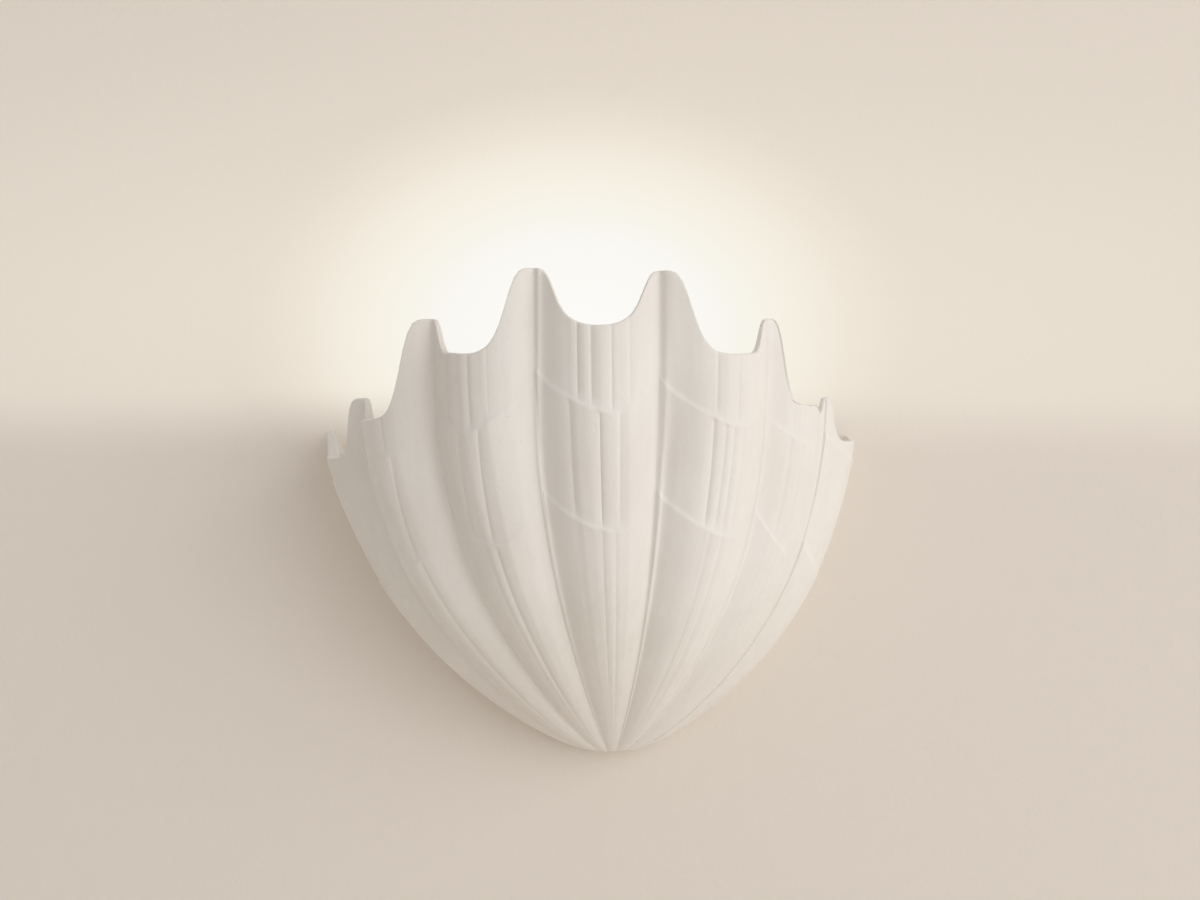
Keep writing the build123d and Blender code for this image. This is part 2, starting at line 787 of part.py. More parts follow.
crimp_line = plate_depth + crimp_size / 2
tag_top = earth_z + tag_reach

with BuildPart() as earth_tag:
    with BuildSketch(earth_plane(plate_depth)):
        Circle(tag_diameter / 2)
        with Locations((0, tag_reach / 2)):
            Rectangle(tag_neck, tag_reach)
        Circle(screw_diameter / 2 + running_gap, mode=Mode.SUBTRACT)
    extrude(amount=tag_thickness)
    with BuildSketch(Plane(origin=(earth_x, -crimp_line, tag_top))):
        Rectangle(crimp_size, crimp_size)
    extrude(amount=crimp_length)
    with BuildSketch(Plane(origin=(earth_x, -crimp_line, tag_top + tag_thickness))):
        Rectangle(crimp_bore, crimp_bore)
    extrude(amount=crimp_length, mode=Mode.SUBTRACT)
finish(earth_tag.part, "earth_tag")

with BuildPart() as earth_nut:
    with BuildSketch(earth_plane(plate_depth + tag_thickness)):
        RegularPolygon(nut_width / 2, 6, major_radius=False)
        Circle(screw_diameter / 2 + seat_gap, mode=Mode.SUBTRACT)
    extrude(amount=nut_height)
finish(earth_nut.part, "earth_nut")

# ---------------------------------------------------------------- leads


def lead(label, route):
    """Round lead along straight runs joined by tangent bends, each as wide as its runs allow."""
    points = [Vector(*point) for point in route]
    radii = []
    for before, corner, after in zip(points, points[1:], points[2:]):
        turn = radians((corner - before).get_angle(after - corner))
        shorter = min((corner - before).length, (after - corner).length)
        radii.append(lead_bend_share * shorter / tan(turn / 2))
    with BuildPart() as wire:
        with BuildLine() as path:
            FilletPolyline(*points, radius=radii)
        with BuildSketch(Plane(origin=path.line @ 0, z_dir=path.line % 0)) as section:
            RegularPolygon(lead_diameter / 2, lead_sides)
        sweep()
        length = sum(edge.length for edge in path.edges())
    print(label, "bend radii", [round(radius, 1) for radius in radii])
    print(label, "volume over section times length", round(wire.part.volume / section.sketch.area / length, 4))
    finish(wire.part, label)


crimp_middle = lamp_height - terminal_drop + crimp_length / 2
for label, side, pole, turns in (("live_lead", -1, -1, live_turns), ("neutral_lead", 1, 0, neutral_turns)):
    start = (pole * pole_pitch, -barrel_line, strip_z)
    leave = (pole * pole_pitch, -barrel_line, strip_z + first_run)
    rise = (side * crimp_reach, -lamp_reach, crimp_middle - final_run)
    end = (side * crimp_reach, -lamp_reach, crimp_middle)
    lead(label, [start, leave, *turns, rise, end])

earth_crimp = tag_top + crimp_length / 2
earth_start = (pole_pitch, -barrel_line, strip_z)
earth_leave = (pole_pitch, -barrel_line, strip_z + first_run)
earth_over = (earth_x, -crimp_line, strip_z + first_run)
earth_end = (earth_x, -crimp_line, earth_crimp)
lead("earth_lead", [earth_start, earth_leave, earth_over, earth_end])
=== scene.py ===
"""Looks of the shell wall sconce: a fluted plaster half bowl with a linear lamp behind its rim.

Sizes in the classes are millimetres above the beak or from the wall, as a maker measures them,
and each finished mesh is scaled once to metres in the CAD model's own frame.
"""

import logging
from dataclasses import dataclass, field
from enum import Enum
from math import cos, pi, radians, sin
from typing import Any, Sequence

import bmesh
import bpy
import numpy as np
from mathutils import Matrix, Vector


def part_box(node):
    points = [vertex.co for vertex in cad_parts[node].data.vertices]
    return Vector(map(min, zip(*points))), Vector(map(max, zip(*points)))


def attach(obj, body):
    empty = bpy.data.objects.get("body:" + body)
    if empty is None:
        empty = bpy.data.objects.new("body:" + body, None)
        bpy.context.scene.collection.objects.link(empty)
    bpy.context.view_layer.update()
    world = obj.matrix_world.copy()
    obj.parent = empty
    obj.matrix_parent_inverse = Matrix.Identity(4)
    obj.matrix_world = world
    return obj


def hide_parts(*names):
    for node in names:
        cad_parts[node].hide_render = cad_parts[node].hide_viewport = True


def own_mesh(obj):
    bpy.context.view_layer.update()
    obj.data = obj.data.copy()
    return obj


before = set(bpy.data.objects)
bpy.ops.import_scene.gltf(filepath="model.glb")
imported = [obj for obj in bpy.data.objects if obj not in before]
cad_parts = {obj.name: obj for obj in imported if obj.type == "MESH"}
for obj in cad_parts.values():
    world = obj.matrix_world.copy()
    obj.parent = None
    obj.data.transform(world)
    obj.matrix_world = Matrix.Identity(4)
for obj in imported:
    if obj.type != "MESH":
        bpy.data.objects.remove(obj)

LOG = logging.getLogger("shell_sconce")
MM = 0.001
HAIR = 1e-4  # two places closer than this, in millimetres, are one
QUARTER_TURN = Matrix.Rotation(radians(90), 4, "X")  # points a shape's own Z at the room

Point = tuple[float, float, float]
Colour = tuple[float, float, float]
Grid = np.ndarray


def paint(red: int, green: int, blue: int) -> Colour:
    """Return the linear colour of a paint mixed by its 8-bit screen values."""
    shares = [level / 255 for level in (red, green, blue)]
    return tuple(s / 12.92 if s <= 0.04045 else ((s + 0.055) / 1.055) ** 2.4 for s in shares)


# ---------------------------------------------------------------- shader arithmetic


class Signal:
    """One shader output that takes part in Python arithmetic."""

    def __init__(self, recipe: "Recipe", socket: bpy.types.NodeSocket) -> None:
        """Keep the output and the recipe it belongs to."""
        self.recipe = recipe
        self.socket = socket

    def _maths(self, operation: str, first: "Signal | float", second: "Signal | float") -> "Signal":
        """Return the result of one Math node."""
        return self.recipe.add("ShaderNodeMath", {"operation": operation}, {0: first, 1: second})

    def __add__(self, other: "Signal | float") -> "Signal":
        """Return the sum."""
        return self._maths("ADD", self, other)

    def __radd__(self, other: float) -> "Signal":
        """Return the sum with a number on the left."""
        return self._maths("ADD", other, self)

    def __sub__(self, other: "Signal | float") -> "Signal":
        """Return the difference."""
        return self._maths("SUBTRACT", self, other)

    def __rsub__(self, other: float) -> "Signal":
        """Return a number less this signal."""
        return self._maths("SUBTRACT", other, self)

    def __mul__(self, other: "Signal | float") -> "Signal":
        """Return the product."""
        return self._maths("MULTIPLY", self, other)

    def __truediv__(self, other: "Signal | float") -> "Signal":
        """Return the quotient."""
        return self._maths("DIVIDE", self, other)

    def __pow__(self, other: "Signal | float") -> "Signal":
        """Return this signal raised to a power."""
        return self._maths("POWER", self, other)

    def __abs__(self) -> "Signal":
        """Return this signal without its sign."""
        return self.recipe.add("ShaderNodeMath", {"operation": "ABSOLUTE"}, {0: self})


class Recipe:
    """The node tree of one finish."""

    def __init__(self, name: str) -> None:
        """Start an empty material.

        Args:
            name: The material's name.
        """
        self.material = bpy.data.materials.new(name)
        self.material.use_nodes = True
        self.tree = self.material.node_tree
        self.tree.nodes.clear()

    def add(
        self,
        kind: str,
        settings: dict[str, Any] | None = None,
        sockets: dict[str | int, Any] | None = None,
        output: str | int = 0,
    ) -> Signal:
        """Add a node of any type.

        Args:
            kind: The node's type.
            settings: Its own settings, set first; "stops" are a ramp's places and colours.
            sockets: Values or signals for its inputs, by name or number.
            output: The output to return.

        Returns:
            The chosen output.
        """
        node = self.tree.nodes.new(kind)
        for name, value in (settings or {}).items():
            if name == "stops":
                self._set_stops(node.color_ramp, value)
            else:
                setattr(node, name, value)
        for name, value in (sockets or {}).items():
            if isinstance(value, Signal):
                self.tree.links.new(value.socket, node.inputs[name])
            else:
                node.inputs[name].default_value = value
        return Signal(self, node.outputs[output] if len(node.outputs) else None)

    @staticmethod
    def _set_stops(ramp: bpy.types.ColorRamp, stops: Sequence[tuple[float, Colour]]) -> None:
        """Give a ramp its stops.

        Args:
            ramp: The ramp.
            stops: The places and colours.
        """
        while len(ramp.elements) < len(stops):
            ramp.elements.new(1.0)
        for element, (place, colour) in zip(ramp.elements, stops):
            element.position = place
            element.color = (*colour, 1.0)

    def place(self) -> Signal:
        """Return the point on the piece in its object's own coordinates."""
        return self.add("ShaderNodeTexCoord", output="Object")

    def stretched(self, scale: Point) -> Signal:
        """Return the point with each axis scaled."""
        return self.add("ShaderNodeMapping", sockets={"Vector": self.place(), "Scale": scale})

    def axes(self, vector: Signal) -> tuple[Signal, Signal, Signal]:
        """Return a vector's three parts.

        Args:
            vector: The vector.

        Returns:
            The parts along X, Y and Z.
        """
        parts = self.add("ShaderNodeSeparateXYZ", sockets={0: vector})
        outputs = parts.socket.node.outputs
        return tuple(Signal(self, outputs[number]) for number in range(3))

    def noise(
        self, vector: Signal, scale: float, detail: float = 3.0, roughness: float = 0.5
    ) -> Signal:
        """Return fractal noise, from 0 to 1 about a half."""
        sockets = {"Vector": vector, "Scale": scale, "Detail": detail, "Roughness": roughness}
        return self.add("ShaderNodeTexNoise", sockets=sockets)

    def between(self, signal: Signal, low: float, high: float) -> Signal:
        """Return a smooth step from 0 at low to 1 at high."""
        sockets = {"Value": signal, "From Min": low, "From Max": high}
        return self.add("ShaderNodeMapRange", {"interpolation_type": "SMOOTHSTEP"}, sockets)

    def bell(self, signal: Signal) -> Signal:
        """Return a bell curve, 1 where the signal is 0."""
        return self.add("ShaderNodeMath", {"operation": "EXPONENT"}, {0: signal * signal * -1})

    def tint(self, share: Signal, first: Colour | Signal, second: Colour | Signal) -> Signal:
        """Return a colour between two.

        Args:
            share: Share of the second colour.
            first: The first colour.
            second: The second colour.

        Returns:
            The mixed colour.
        """
        ends = [end if isinstance(end, Signal) else (*end, 1.0) for end in (first, second)]
        sockets = {0: share, 6: ends[0], 7: ends[1]}
        return self.add("ShaderNodeMix", {"data_type": "RGBA"}, sockets, 2)

    def relief(self, height: Signal, depth: float, strength: float = 1.0) -> Signal:
        """Return a surface direction raised by a height, for fine grain only."""
        sockets = {"Height": height, "Distance": depth, "Strength": strength}
        return self.add("ShaderNodeBump", sockets=sockets)

    def surface(self, **sockets: Any) -> Signal:
        """Return a principled surface; underscores in the names stand for spaces."""
        named = {name.replace("_", " "): value for name, value in sockets.items()}
        return self.add("ShaderNodeBsdfPrincipled", sockets=named)

    def finish(self, surface: Signal) -> bpy.types.Material:
        """Close the tree with its surface and return the material."""
        self.add("ShaderNodeOutputMaterial", sockets={"Surface": surface})
        return self.material

    def finish_with(self, **sockets: Any) -> bpy.types.Material:
        """Close the tree with a principled surface and return the material."""
        return self.finish(self.surface(**sockets))

    def shown_as(self, surface: Signal, colour: Signal, share: Signal | float) -> Signal:
        """Return a surface that the camera sees, in part, as a plain bright colour.

        Args:
            surface: The surface as light falls on it.
            colour: The plain colour.
            share: Share of the plain colour.

        Returns:
            The mixed surface.
        """
        path = self.add("ShaderNodeLightPath", output="Is Camera Ray")
        light = self.add("ShaderNodeEmission", sockets={"Color": colour, "Strength": 1.0})
        return self.add("ShaderNodeMixShader", sockets={0: path * share, 1: surface, 2: light})


# ---------------------------------------------------------------- finishes


@dataclass(frozen=True)
class CastPlaster:
    """Matt cast plaster, brushed with a thin warm white."""

    name: str = "cast_plaster"
    light: Colour = (0.875, 0.848, 0.812)
    shade: Colour = (0.835, 0.800, 0.755)
    roughness: float = 0.78

    def make(self) -> bpy.types.Material:
        """Make the plaster, with soft clouding, pores and a fine trowelled grain.

        Returns:
            The material.
        """
        recipe = Recipe(self.name)
        place = recipe.place()
        clouds = recipe.noise(place, 14, 4)
        drag = recipe.noise(recipe.stretched((220, 220, 24)), 1, 4, 0.6)
        grain = recipe.noise(place, 900, 5, 0.7)
        pores = recipe.between(recipe.noise(place, 420, 2), 0.66, 0.74)
        mix = recipe.between(clouds * 0.7 + drag * 0.3, 0.34, 0.66)
        colour = recipe.tint(mix, self.light, self.shade)
        # painted shade: the pores are tinted darker as well as sunk by the relief
        colour = recipe.tint(pores * 0.35, colour, self.shade)
        height = grain * 0.35 + drag * 0.65 - pores * 0.6
        return recipe.finish_with(
            Base_Color=colour,
            Roughness=self.roughness + grain * 0.12 - drag * 0.06,
            Normal=recipe.relief(height, 0.00012),
            Specular_IOR_Level=0.3,
        )


@dataclass(frozen=True)
class PlatedMetal:
    """Sheet or turned metal with a rolled or turned grain and faint handling marks."""

    name: str
    colour: Colour
    dull: Colour
    roughness: float
    grain_scale: Point = (60, 60, 1400)
    spangle: float = 0.0

    def make(self) -> bpy.types.Material:
        """Make the metal, with grain, dull patches and, on zinc sheet, a faint spangle.

        Returns:
            The material.
        """
        recipe = Recipe(self.name)
        place = recipe.place()
        grain = recipe.noise(recipe.stretched(self.grain_scale), 1, 3, 0.6)
        patches = recipe.between(recipe.noise(place, 55, 4), 0.4, 0.7)
        crystals = recipe.add("ShaderNodeTexVoronoi", sockets={"Vector": place, "Scale": 260.0})
        colour = recipe.tint(patches * 0.6, self.colour, self.dull)
        colour = recipe.tint(crystals * self.spangle, colour, self.dull)
        return recipe.finish_with(
            Base_Color=colour,
            Metallic=1.0,
            Roughness=self.roughness + grain * 0.16 + patches * 0.08,
            Normal=recipe.relief(grain, 0.00004, 0.6),
        )


@dataclass(frozen=True)
class PowderCoat:
    """Baked powder paint with a slight orange peel."""

    name: str = "powder_coat"
    colour: Colour = (0.80, 0.79, 0.76)
    worn: Colour = (0.62, 0.61, 0.58)

    def make(self) -> bpy.types.Material:
        """Make the paint, with its peel and rubbed patches.

        Returns:
            The material.
        """
        recipe = Recipe(self.name)
        place = recipe.place()
        peel = recipe.noise(place, 520, 2)
        rubs = recipe.between(recipe.noise(recipe.stretched((90, 90, 30)), 1, 5, 0.65), 0.6, 0.78)
        return recipe.finish_with(
            Base_Color=recipe.tint(rubs * 0.35, self.colour, self.worn),
            Roughness=0.36 + rubs * 0.2 + peel * 0.05,
            Normal=recipe.relief(peel, 0.00006, 0.7),
        )


@dataclass(frozen=True)
class FiredCeramic:
    """Steatite with a thin fired glaze and tiny specks."""

    name: str = "fired_ceramic"
    colour: Colour = (0.80, 0.77, 0.70)
    speck: Colour = (0.42, 0.36, 0.28)

    def make(self) -> bpy.types.Material:
        """Make the ceramic, mottled and specked under its glaze.

        Returns:
            The material.
        """
        recipe = Recipe(self.name)
        place = recipe.place()
        mottle = recipe.noise(place, 170, 4)
        specks = recipe.between(recipe.noise(place, 1500, 1), 0.72, 0.78)
        warm = recipe.tint(mottle, self.colour, (0.74, 0.70, 0.62))
        return recipe.finish_with(
            Base_Color=recipe.tint(specks * 0.5, warm, self.speck),
            Roughness=0.3 + mottle * 0.22,
            Normal=recipe.relief(mottle, 0.00008, 0.5),
            Coat_Weight=mottle * 0.3,
            Coat_Roughness=0.2,
        )


@dataclass(frozen=True)
class MouldedPolymer:
    """Moulded nylon, rubber or a silicone sleeve."""

    name: str
    colour: Colour
    shade: Colour
    roughness: float
    grain: float = 700.0

    def make(self) -> bpy.types.Material:
        """Make the polymer, with a moulded grain and flow clouds.

        Returns:
            The material.
        """
        recipe = Recipe(self.name)
        place = recipe.place()
        skin = recipe.noise(place, self.grain, 3)
        flow = recipe.noise(place, 65, 3)
        return recipe.finish_with(
            Base_Color=recipe.tint(recipe.between(flow, 0.35, 0.7), self.colour, self.shade),
            Roughness=self.roughness + skin * 0.14,
            Normal=recipe.relief(skin, 0.00005, 0.7),
        )


@dataclass(frozen=True)
class StripedSleeve:
    """Silicone sleeve with a second colour laid along one side."""

    name: str
    colour: Colour
    stripe: Colour

    def make(self) -> bpy.types.Material:
        """Make the sleeve, its stripe placed by the sleeve's own map.

        Returns:
            The material.
        """
        recipe = Recipe(self.name)
        across, _, _ = recipe.axes(recipe.add("ShaderNodeUVMap", {"uv_map": "sleeve"}))
        skin = recipe.noise(recipe.place(), 700, 3)
        band = recipe.between(across, 0.44, 0.5) - recipe.between(across, 0.86, 0.92)
        return recipe.finish_with(
            Base_Color=recipe.tint(band, self.colour, self.stripe),
            Roughness=0.42 + skin * 0.14,
            Normal=recipe.relief(skin, 0.00005, 0.7),
        )


@dataclass(frozen=True)
class PressedFelt:
    """Grey wool felt, pressed and cut."""

    name: str = "pressed_felt"
    colour: Colour = (0.40, 0.37, 0.33)
    fleck: Colour = (0.56, 0.53, 0.48)

    def make(self) -> bpy.types.Material:
        """Make the felt, with crossed fibres.

        Returns:
            The material.
        """
        recipe = Recipe(self.name)
        one_way = recipe.noise(recipe.stretched((3000, 900, 500)), 1, 3, 0.7)
        other_way = recipe.noise(recipe.stretched((500, 900, 3000)), 1, 3, 0.7)
        fibres = one_way * 0.5 + other_way * 0.5
        return recipe.finish_with(
            Base_Color=recipe.tint(recipe.between(fibres, 0.4, 0.62), self.colour, self.fleck),
            Roughness=0.9 + fibres * 0.1,
            Normal=recipe.relief(fibres, 0.0002),
            Sheen_Weight=0.3,
        )


@dataclass(frozen=True)
class ClearQuartz:
    """Thin clear quartz that glows faintly from the wire inside."""

    name: str = "clear_quartz"
    glow: Colour = (1.0, 0.90, 0.74)

    def make(self) -> bpy.types.Material:
        """Make the quartz, clear in its middle and hazed toward its ends.

        Returns:
            The material.
        """
        recipe = Recipe(self.name)
        along, _, _ = recipe.axes(recipe.place())
        haze = recipe.between(abs(along), 0.030, 0.041)
        streaks = recipe.noise(recipe.stretched((30, 900, 900)), 1, 2)
        return recipe.finish_with(
            Base_Color=recipe.tint(haze, (0.97, 0.97, 0.95), (0.78, 0.78, 0.76)),
            Roughness=0.04 + haze * 0.2 + streaks * 0.04,
            Alpha=0.34 + haze * 0.5 + streaks * 0.05,
            Emission_Color=recipe.tint(haze, self.glow, (0.02, 0.015, 0.01)),
            Emission_Strength=0.5,
            IOR=1.46,
        )


@dataclass(frozen=True)
class GlowingWire:
    """Wound tungsten at a warm white heat."""

    name: str = "glowing_wire"
    hot: Colour = (1.0, 0.86, 0.62)
    cool: Colour = (0.95, 0.55, 0.22)

    def make(self) -> bpy.types.Material:
        """Make the wire, hottest at its middle.

        Returns:
            The material.
        """
        recipe = Recipe(self.name)
        along, _, _ = recipe.axes(recipe.place())
        ends = recipe.between(abs(along), 0.026, 0.036)
        return recipe.finish_with(
            Base_Color=recipe.tint(ends, (0.30, 0.27, 0.23), (0.22, 0.21, 0.20)),
            Metallic=1.0,
            Roughness=0.4 + recipe.noise(recipe.place(), 900, 2) * 0.2,
            Emission_Color=recipe.tint(ends, self.hot, self.cool),
            Emission_Strength=1.6,
        )


@dataclass(frozen=True)
class RoomWall:
    """Cream emulsion on the wall, with the lamp's light spread over it above the shell, painted as
    a glow that the camera sees, and a lighter band painted above the lamp's cut-off line.
    """

    name: str = "room_wall"
    # upper and lower: the wall is painted lighter above the line, as painted lamp light, and darker
    # below it, as painted shade under the rim
    upper: Colour = field(default_factory=lambda: paint(236, 228, 218))
    lower: Colour = field(default_factory=lambda: paint(232, 224, 215))
    # the colours from here to white are the painted glow of the lamp's light on the wall, from its
    # outer edge to its middle
    painted_halo: Colour = field(default_factory=lambda: paint(242, 233, 219))
    ring: Colour = field(default_factory=lambda: paint(246, 242, 229))
    pale: Colour = field(default_factory=lambda: paint(250, 248, 243))
    white: Colour = field(default_factory=lambda: paint(252, 251, 248))
    # line, middle and the reaches: where the painted lamp light ends below the rim, and where the
    # painted glow is centred and how far it spreads
    line: float = 0.045
    middle: tuple[float, float] = (-0.010, 0.101)
    core_reach: tuple[float, float] = (0.185, 0.132)
    halo_reach: tuple[float, float] = (0.58, 0.15)

    def make(self) -> bpy.types.Material:
        """Make the wall, which is seen through from its back.

        Returns:
            The material.
        """
        recipe = Recipe(self.name)
        place = recipe.place()
        across, _, up = recipe.axes(place)
        drift = recipe.noise(place, 4, 2) - 0.5
        # painted lamp light and shade: the wall turns from the lower paint to the upper one across
        # the lamp's cut-off line
        rise = recipe.between(up + drift * 0.06, self.line - 0.05, self.line + 0.05)
        roller = recipe.noise(place, 240, 4, 0.6)
        paintwork = recipe.surface(
            Base_Color=recipe.tint(rise, self.lower, self.upper),
            Roughness=0.8 + roller * 0.1,
            Normal=recipe.relief(roller, 0.0003, 0.5),
            Specular_IOR_Level=0.2,
        )
        # painted glow: the lamp's light spread on the wall, shown to the camera as a plain bright
        # colour that fades out from its middle and stops at the line, a painted shadow edge under
        # the rim
        side, height = across - self.middle[0], up - self.middle[1]
        painted_halo = recipe.bell(side / self.halo_reach[0]) * recipe.bell(height / self.halo_reach[1])
        core_side, core_height = side / self.core_reach[0], height / self.core_reach[1]
        far = (core_side * core_side + core_height * core_height) ** 0.5
        painted_core = 1 - recipe.between(far, 0.72, 1.14)
        glow = (painted_halo * 0.68 + painted_core - painted_halo * painted_core * 0.68) * recipe.between(
            up + drift * 0.02, self.line - 0.022, self.line + 0.022
        )
        # heat: the painted glow's colours, white in its middle, out to the halo colour at its edge
        heat = recipe.add(
            "ShaderNodeValToRGB",
            {"stops": ((0.0, self.white), (0.4, self.pale), (0.63, self.ring), (0.88, self.painted_halo))},
            {0: far},
        )
        lit = recipe.shown_as(paintwork, heat, glow)
        behind = recipe.add("ShaderNodeNewGeometry", output="Backfacing")
        clear = recipe.add("ShaderNodeBsdfTransparent")
        sides = {0: behind, 1: lit, 2: clear}
        return recipe.finish(recipe.add("ShaderNodeMixShader", sockets=sides))


@dataclass(frozen=True)
class RoomFloor:
    """Plain pale floor under the wall."""

    name: str = "room_floor"
    colour: Colour = field(default_factory=lambda: paint(226, 220, 211))

    def make(self) -> bpy.types.Material:
        """Make the floor, barely clouded.

        Returns:
            The material.
        """
        recipe = Recipe(self.name)
        clouds = recipe.noise(recipe.place(), 3, 3)
        colour = recipe.tint(clouds * 0.3, self.colour, paint(214, 207, 197))
        floor = recipe.surface(Base_Color=colour, Roughness=0.7 + clouds * 0.1)
        return recipe.finish(recipe.shown_as(floor, colour, 0.7))


class Finish(Enum):
    """The finishes in the sconce, each with its recipe."""

    PLASTER = CastPlaster()
    BRASS = PlatedMetal("turned_brass", (0.72, 0.53, 0.26), (0.52, 0.38, 0.19), 0.24, (900, 60, 60))
    ZINC_SHEET = PlatedMetal(
        "zinc_sheet", (0.66, 0.67, 0.66), (0.47, 0.49, 0.50), 0.30, (40, 900, 900), 0.25
    )
    ZINC_FIXING = PlatedMetal(
        "zinc_fixing", (0.62, 0.63, 0.63), (0.42, 0.43, 0.45), 0.26, (700, 90, 700)
    )
    BRIGHT_ALUMINIUM = PlatedMetal(
        "bright_aluminium", (0.86, 0.87, 0.88), (0.74, 0.75, 0.77), 0.12, (30, 1200, 1200)
    )
    DULL_ALUMINIUM = PlatedMetal(
        "dull_aluminium", (0.70, 0.71, 0.72), (0.56, 0.57, 0.58), 0.32, (300, 300, 900)
    )
    NICKEL = PlatedMetal(
        "nickel_plate", (0.66, 0.61, 0.54), (0.50, 0.46, 0.41), 0.16, (900, 120, 120)
    )
    SPRING_WIRE = PlatedMetal(
        "spring_wire", (0.50, 0.51, 0.52), (0.34, 0.35, 0.37), 0.24, (200, 1200, 1200)
    )
    POWDER = PowderCoat()
    CERAMIC = FiredCeramic()
    NYLON = MouldedPolymer("moulded_nylon", (0.74, 0.73, 0.69), (0.68, 0.66, 0.61), 0.42)
    RUBBER = MouldedPolymer("black_rubber", (0.028, 0.027, 0.026), (0.045, 0.043, 0.041), 0.55)
    BROWN_SLEEVE = MouldedPolymer("brown_sleeve", (0.115, 0.045, 0.018), (0.15, 0.062, 0.027), 0.40)
    BLUE_SLEEVE = MouldedPolymer("blue_sleeve", (0.02, 0.075, 0.30), (0.03, 0.10, 0.36), 0.40)
    EARTH_SLEEVE = StripedSleeve("earth_sleeve", (0.10, 0.30, 0.05), (0.72, 0.62, 0.05))
    FELT = PressedFelt()
    QUARTZ = ClearQuartz()
    FILAMENT = GlowingWire()
    WALL = RoomWall()
    FLOOR = RoomFloor()

    def material(self) -> bpy.types.Material:
        """Return this finish's material, made once."""
        return bpy.data.materials.get(self.value.name) or self.value.make()


# ---------------------------------------------------------------- making pieces


class Body(Enum):
    """The bodies that carry the pieces made here."""

    WALL = "wall"
    SHELL = "shell"
    LAMP = "lamp"


def edges_of(corners: Sequence[bmesh.types.BMVert]) -> list[bmesh.types.BMEdge]:
    """Return the edges that meet some corners."""
    return list({edge for corner in corners for edge in corner.link_edges})


def faces_of(parts: Sequence[bmesh.types.BMVert | bmesh.types.BMEdge]) -> list[bmesh.types.BMFace]:
    """Return the faces that meet some corners or edges."""
    return list({face for part in parts for face in part.link_faces})


def block(shape: bmesh.types.BMesh, size: Vector, middle: Vector) -> list[bmesh.types.BMVert]:
    """Add a plain box.

    Args:
        shape: Where the box goes.
        size: Its three sides.
        middle: Its middle.

    Returns:
        Its corners.
    """
    corners = bmesh.ops.create_cube(shape, size=1.0)["verts"]
    bmesh.ops.scale(shape, vec=size, verts=corners)
    bmesh.ops.translate(shape, vec=middle, verts=corners)
    return corners


def rod(
    shape: bmesh.types.BMesh, radius: float, length: float, sides: int, place: Matrix
) -> None:
    """Add a round rod.

    Args:
        shape: Where the rod goes.
        radius: Its radius.
        length: Its length.
        sides: Faces round it.
        place: Placement of its middle, the rod along its own Z.
    """
    bmesh.ops.create_cone(
        shape,
        cap_ends=True,
        segments=sides,
        radius1=radius,
        radius2=radius,
        depth=length,
        matrix=place,
    )


def round_over(
    shape: bmesh.types.BMesh, edges: Sequence[bmesh.types.BMEdge], radius: float, segments: int = 2
) -> None:
    """Round some edges of a shape.

    Args:
        shape: The shape.
        edges: The edges to round.
        radius: How far in from each edge the rounding starts.
        segments: Faces across the rounding.
    """
    bmesh.ops.bevel(
        shape,
        geom=edges,
        offset=radius,
        offset_type="OFFSET",
        segments=segments,
        profile=0.5,
        affect="EDGES",
        material=-1,
    )


def link_mesh(name: str, mesh: bpy.types.Mesh, finish: Finish) -> bpy.types.Object:
    """Return a new object at the origin that shows a mesh in one finish.

    Args:
        name: The object's name.
        mesh: Its mesh, already in place.
        finish: Its finish.

    Returns:
        The object.
    """
    mesh.materials.clear()
    mesh.materials.append(finish.material())
    piece = bpy.data.objects.new(name, mesh)
    bpy.context.scene.collection.objects.link(piece)
    return piece


def release(
    shape: bmesh.types.BMesh,
    name: str,
    body: Body,
    finish: Finish,
    replaces: Sequence[str],
    sharp_over: float = 35.0,
) -> bpy.types.Object:
    """Turn a shape in millimetres into a piece that rides on a body.

    Args:
        shape: The shape, which is freed.
        name: The piece's name.
        body: The body that carries it.
        finish: Its finish.
        replaces: CAD nodes that it stands for.
        sharp_over: Edges turning more than this many degrees stay crisp.

    Returns:
        The finished piece.
    """
    bmesh.ops.scale(shape, vec=Vector((MM, MM, MM)), verts=shape.verts)
    mesh = bpy.data.meshes.new(name)
    shape.to_mesh(mesh)
    shape.free()
    mesh.shade_smooth()
    mesh.set_sharp_from_angle(angle=radians(sharp_over))
    piece = link_mesh(name, mesh, finish)
    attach(piece, body.value)
    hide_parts(*replaces)
    LOG.info("%s: %d faces on body %s", name, len(mesh.polygons), body.value)
    return piece


def turned(
    outline: Sequence[tuple[float, float]], axis: Matrix, steps: int
) -> bmesh.types.BMesh:
    """Spin a closed outline into a solid of revolution.

    Args:
        outline: Radius and height of each corner, in order round the outline.
        axis: Placement of the turning axis, along its local Z.
        steps: Faces round the piece.

    Returns:
        The turned shape.
    """
    shape = bmesh.new()
    corners = [shape.verts.new((radius, 0, height)) for radius, height in outline]
    rim = [shape.edges.new(pair) for pair in zip(corners, corners[1:] + corners[:1])]
    bmesh.ops.spin(
        shape,
        geom=corners + rim,
        cent=(0, 0, 0),
        axis=(0, 0, 1),
        angle=2 * pi,
        steps=steps,
        use_merge=True,
        use_duplicate=False,
    )
    bmesh.ops.remove_doubles(shape, verts=shape.verts, dist=HAIR)
    bmesh.ops.recalc_face_normals(shape, faces=shape.faces)
    bmesh.ops.transform(shape, matrix=axis, verts=shape.verts)
    return shape


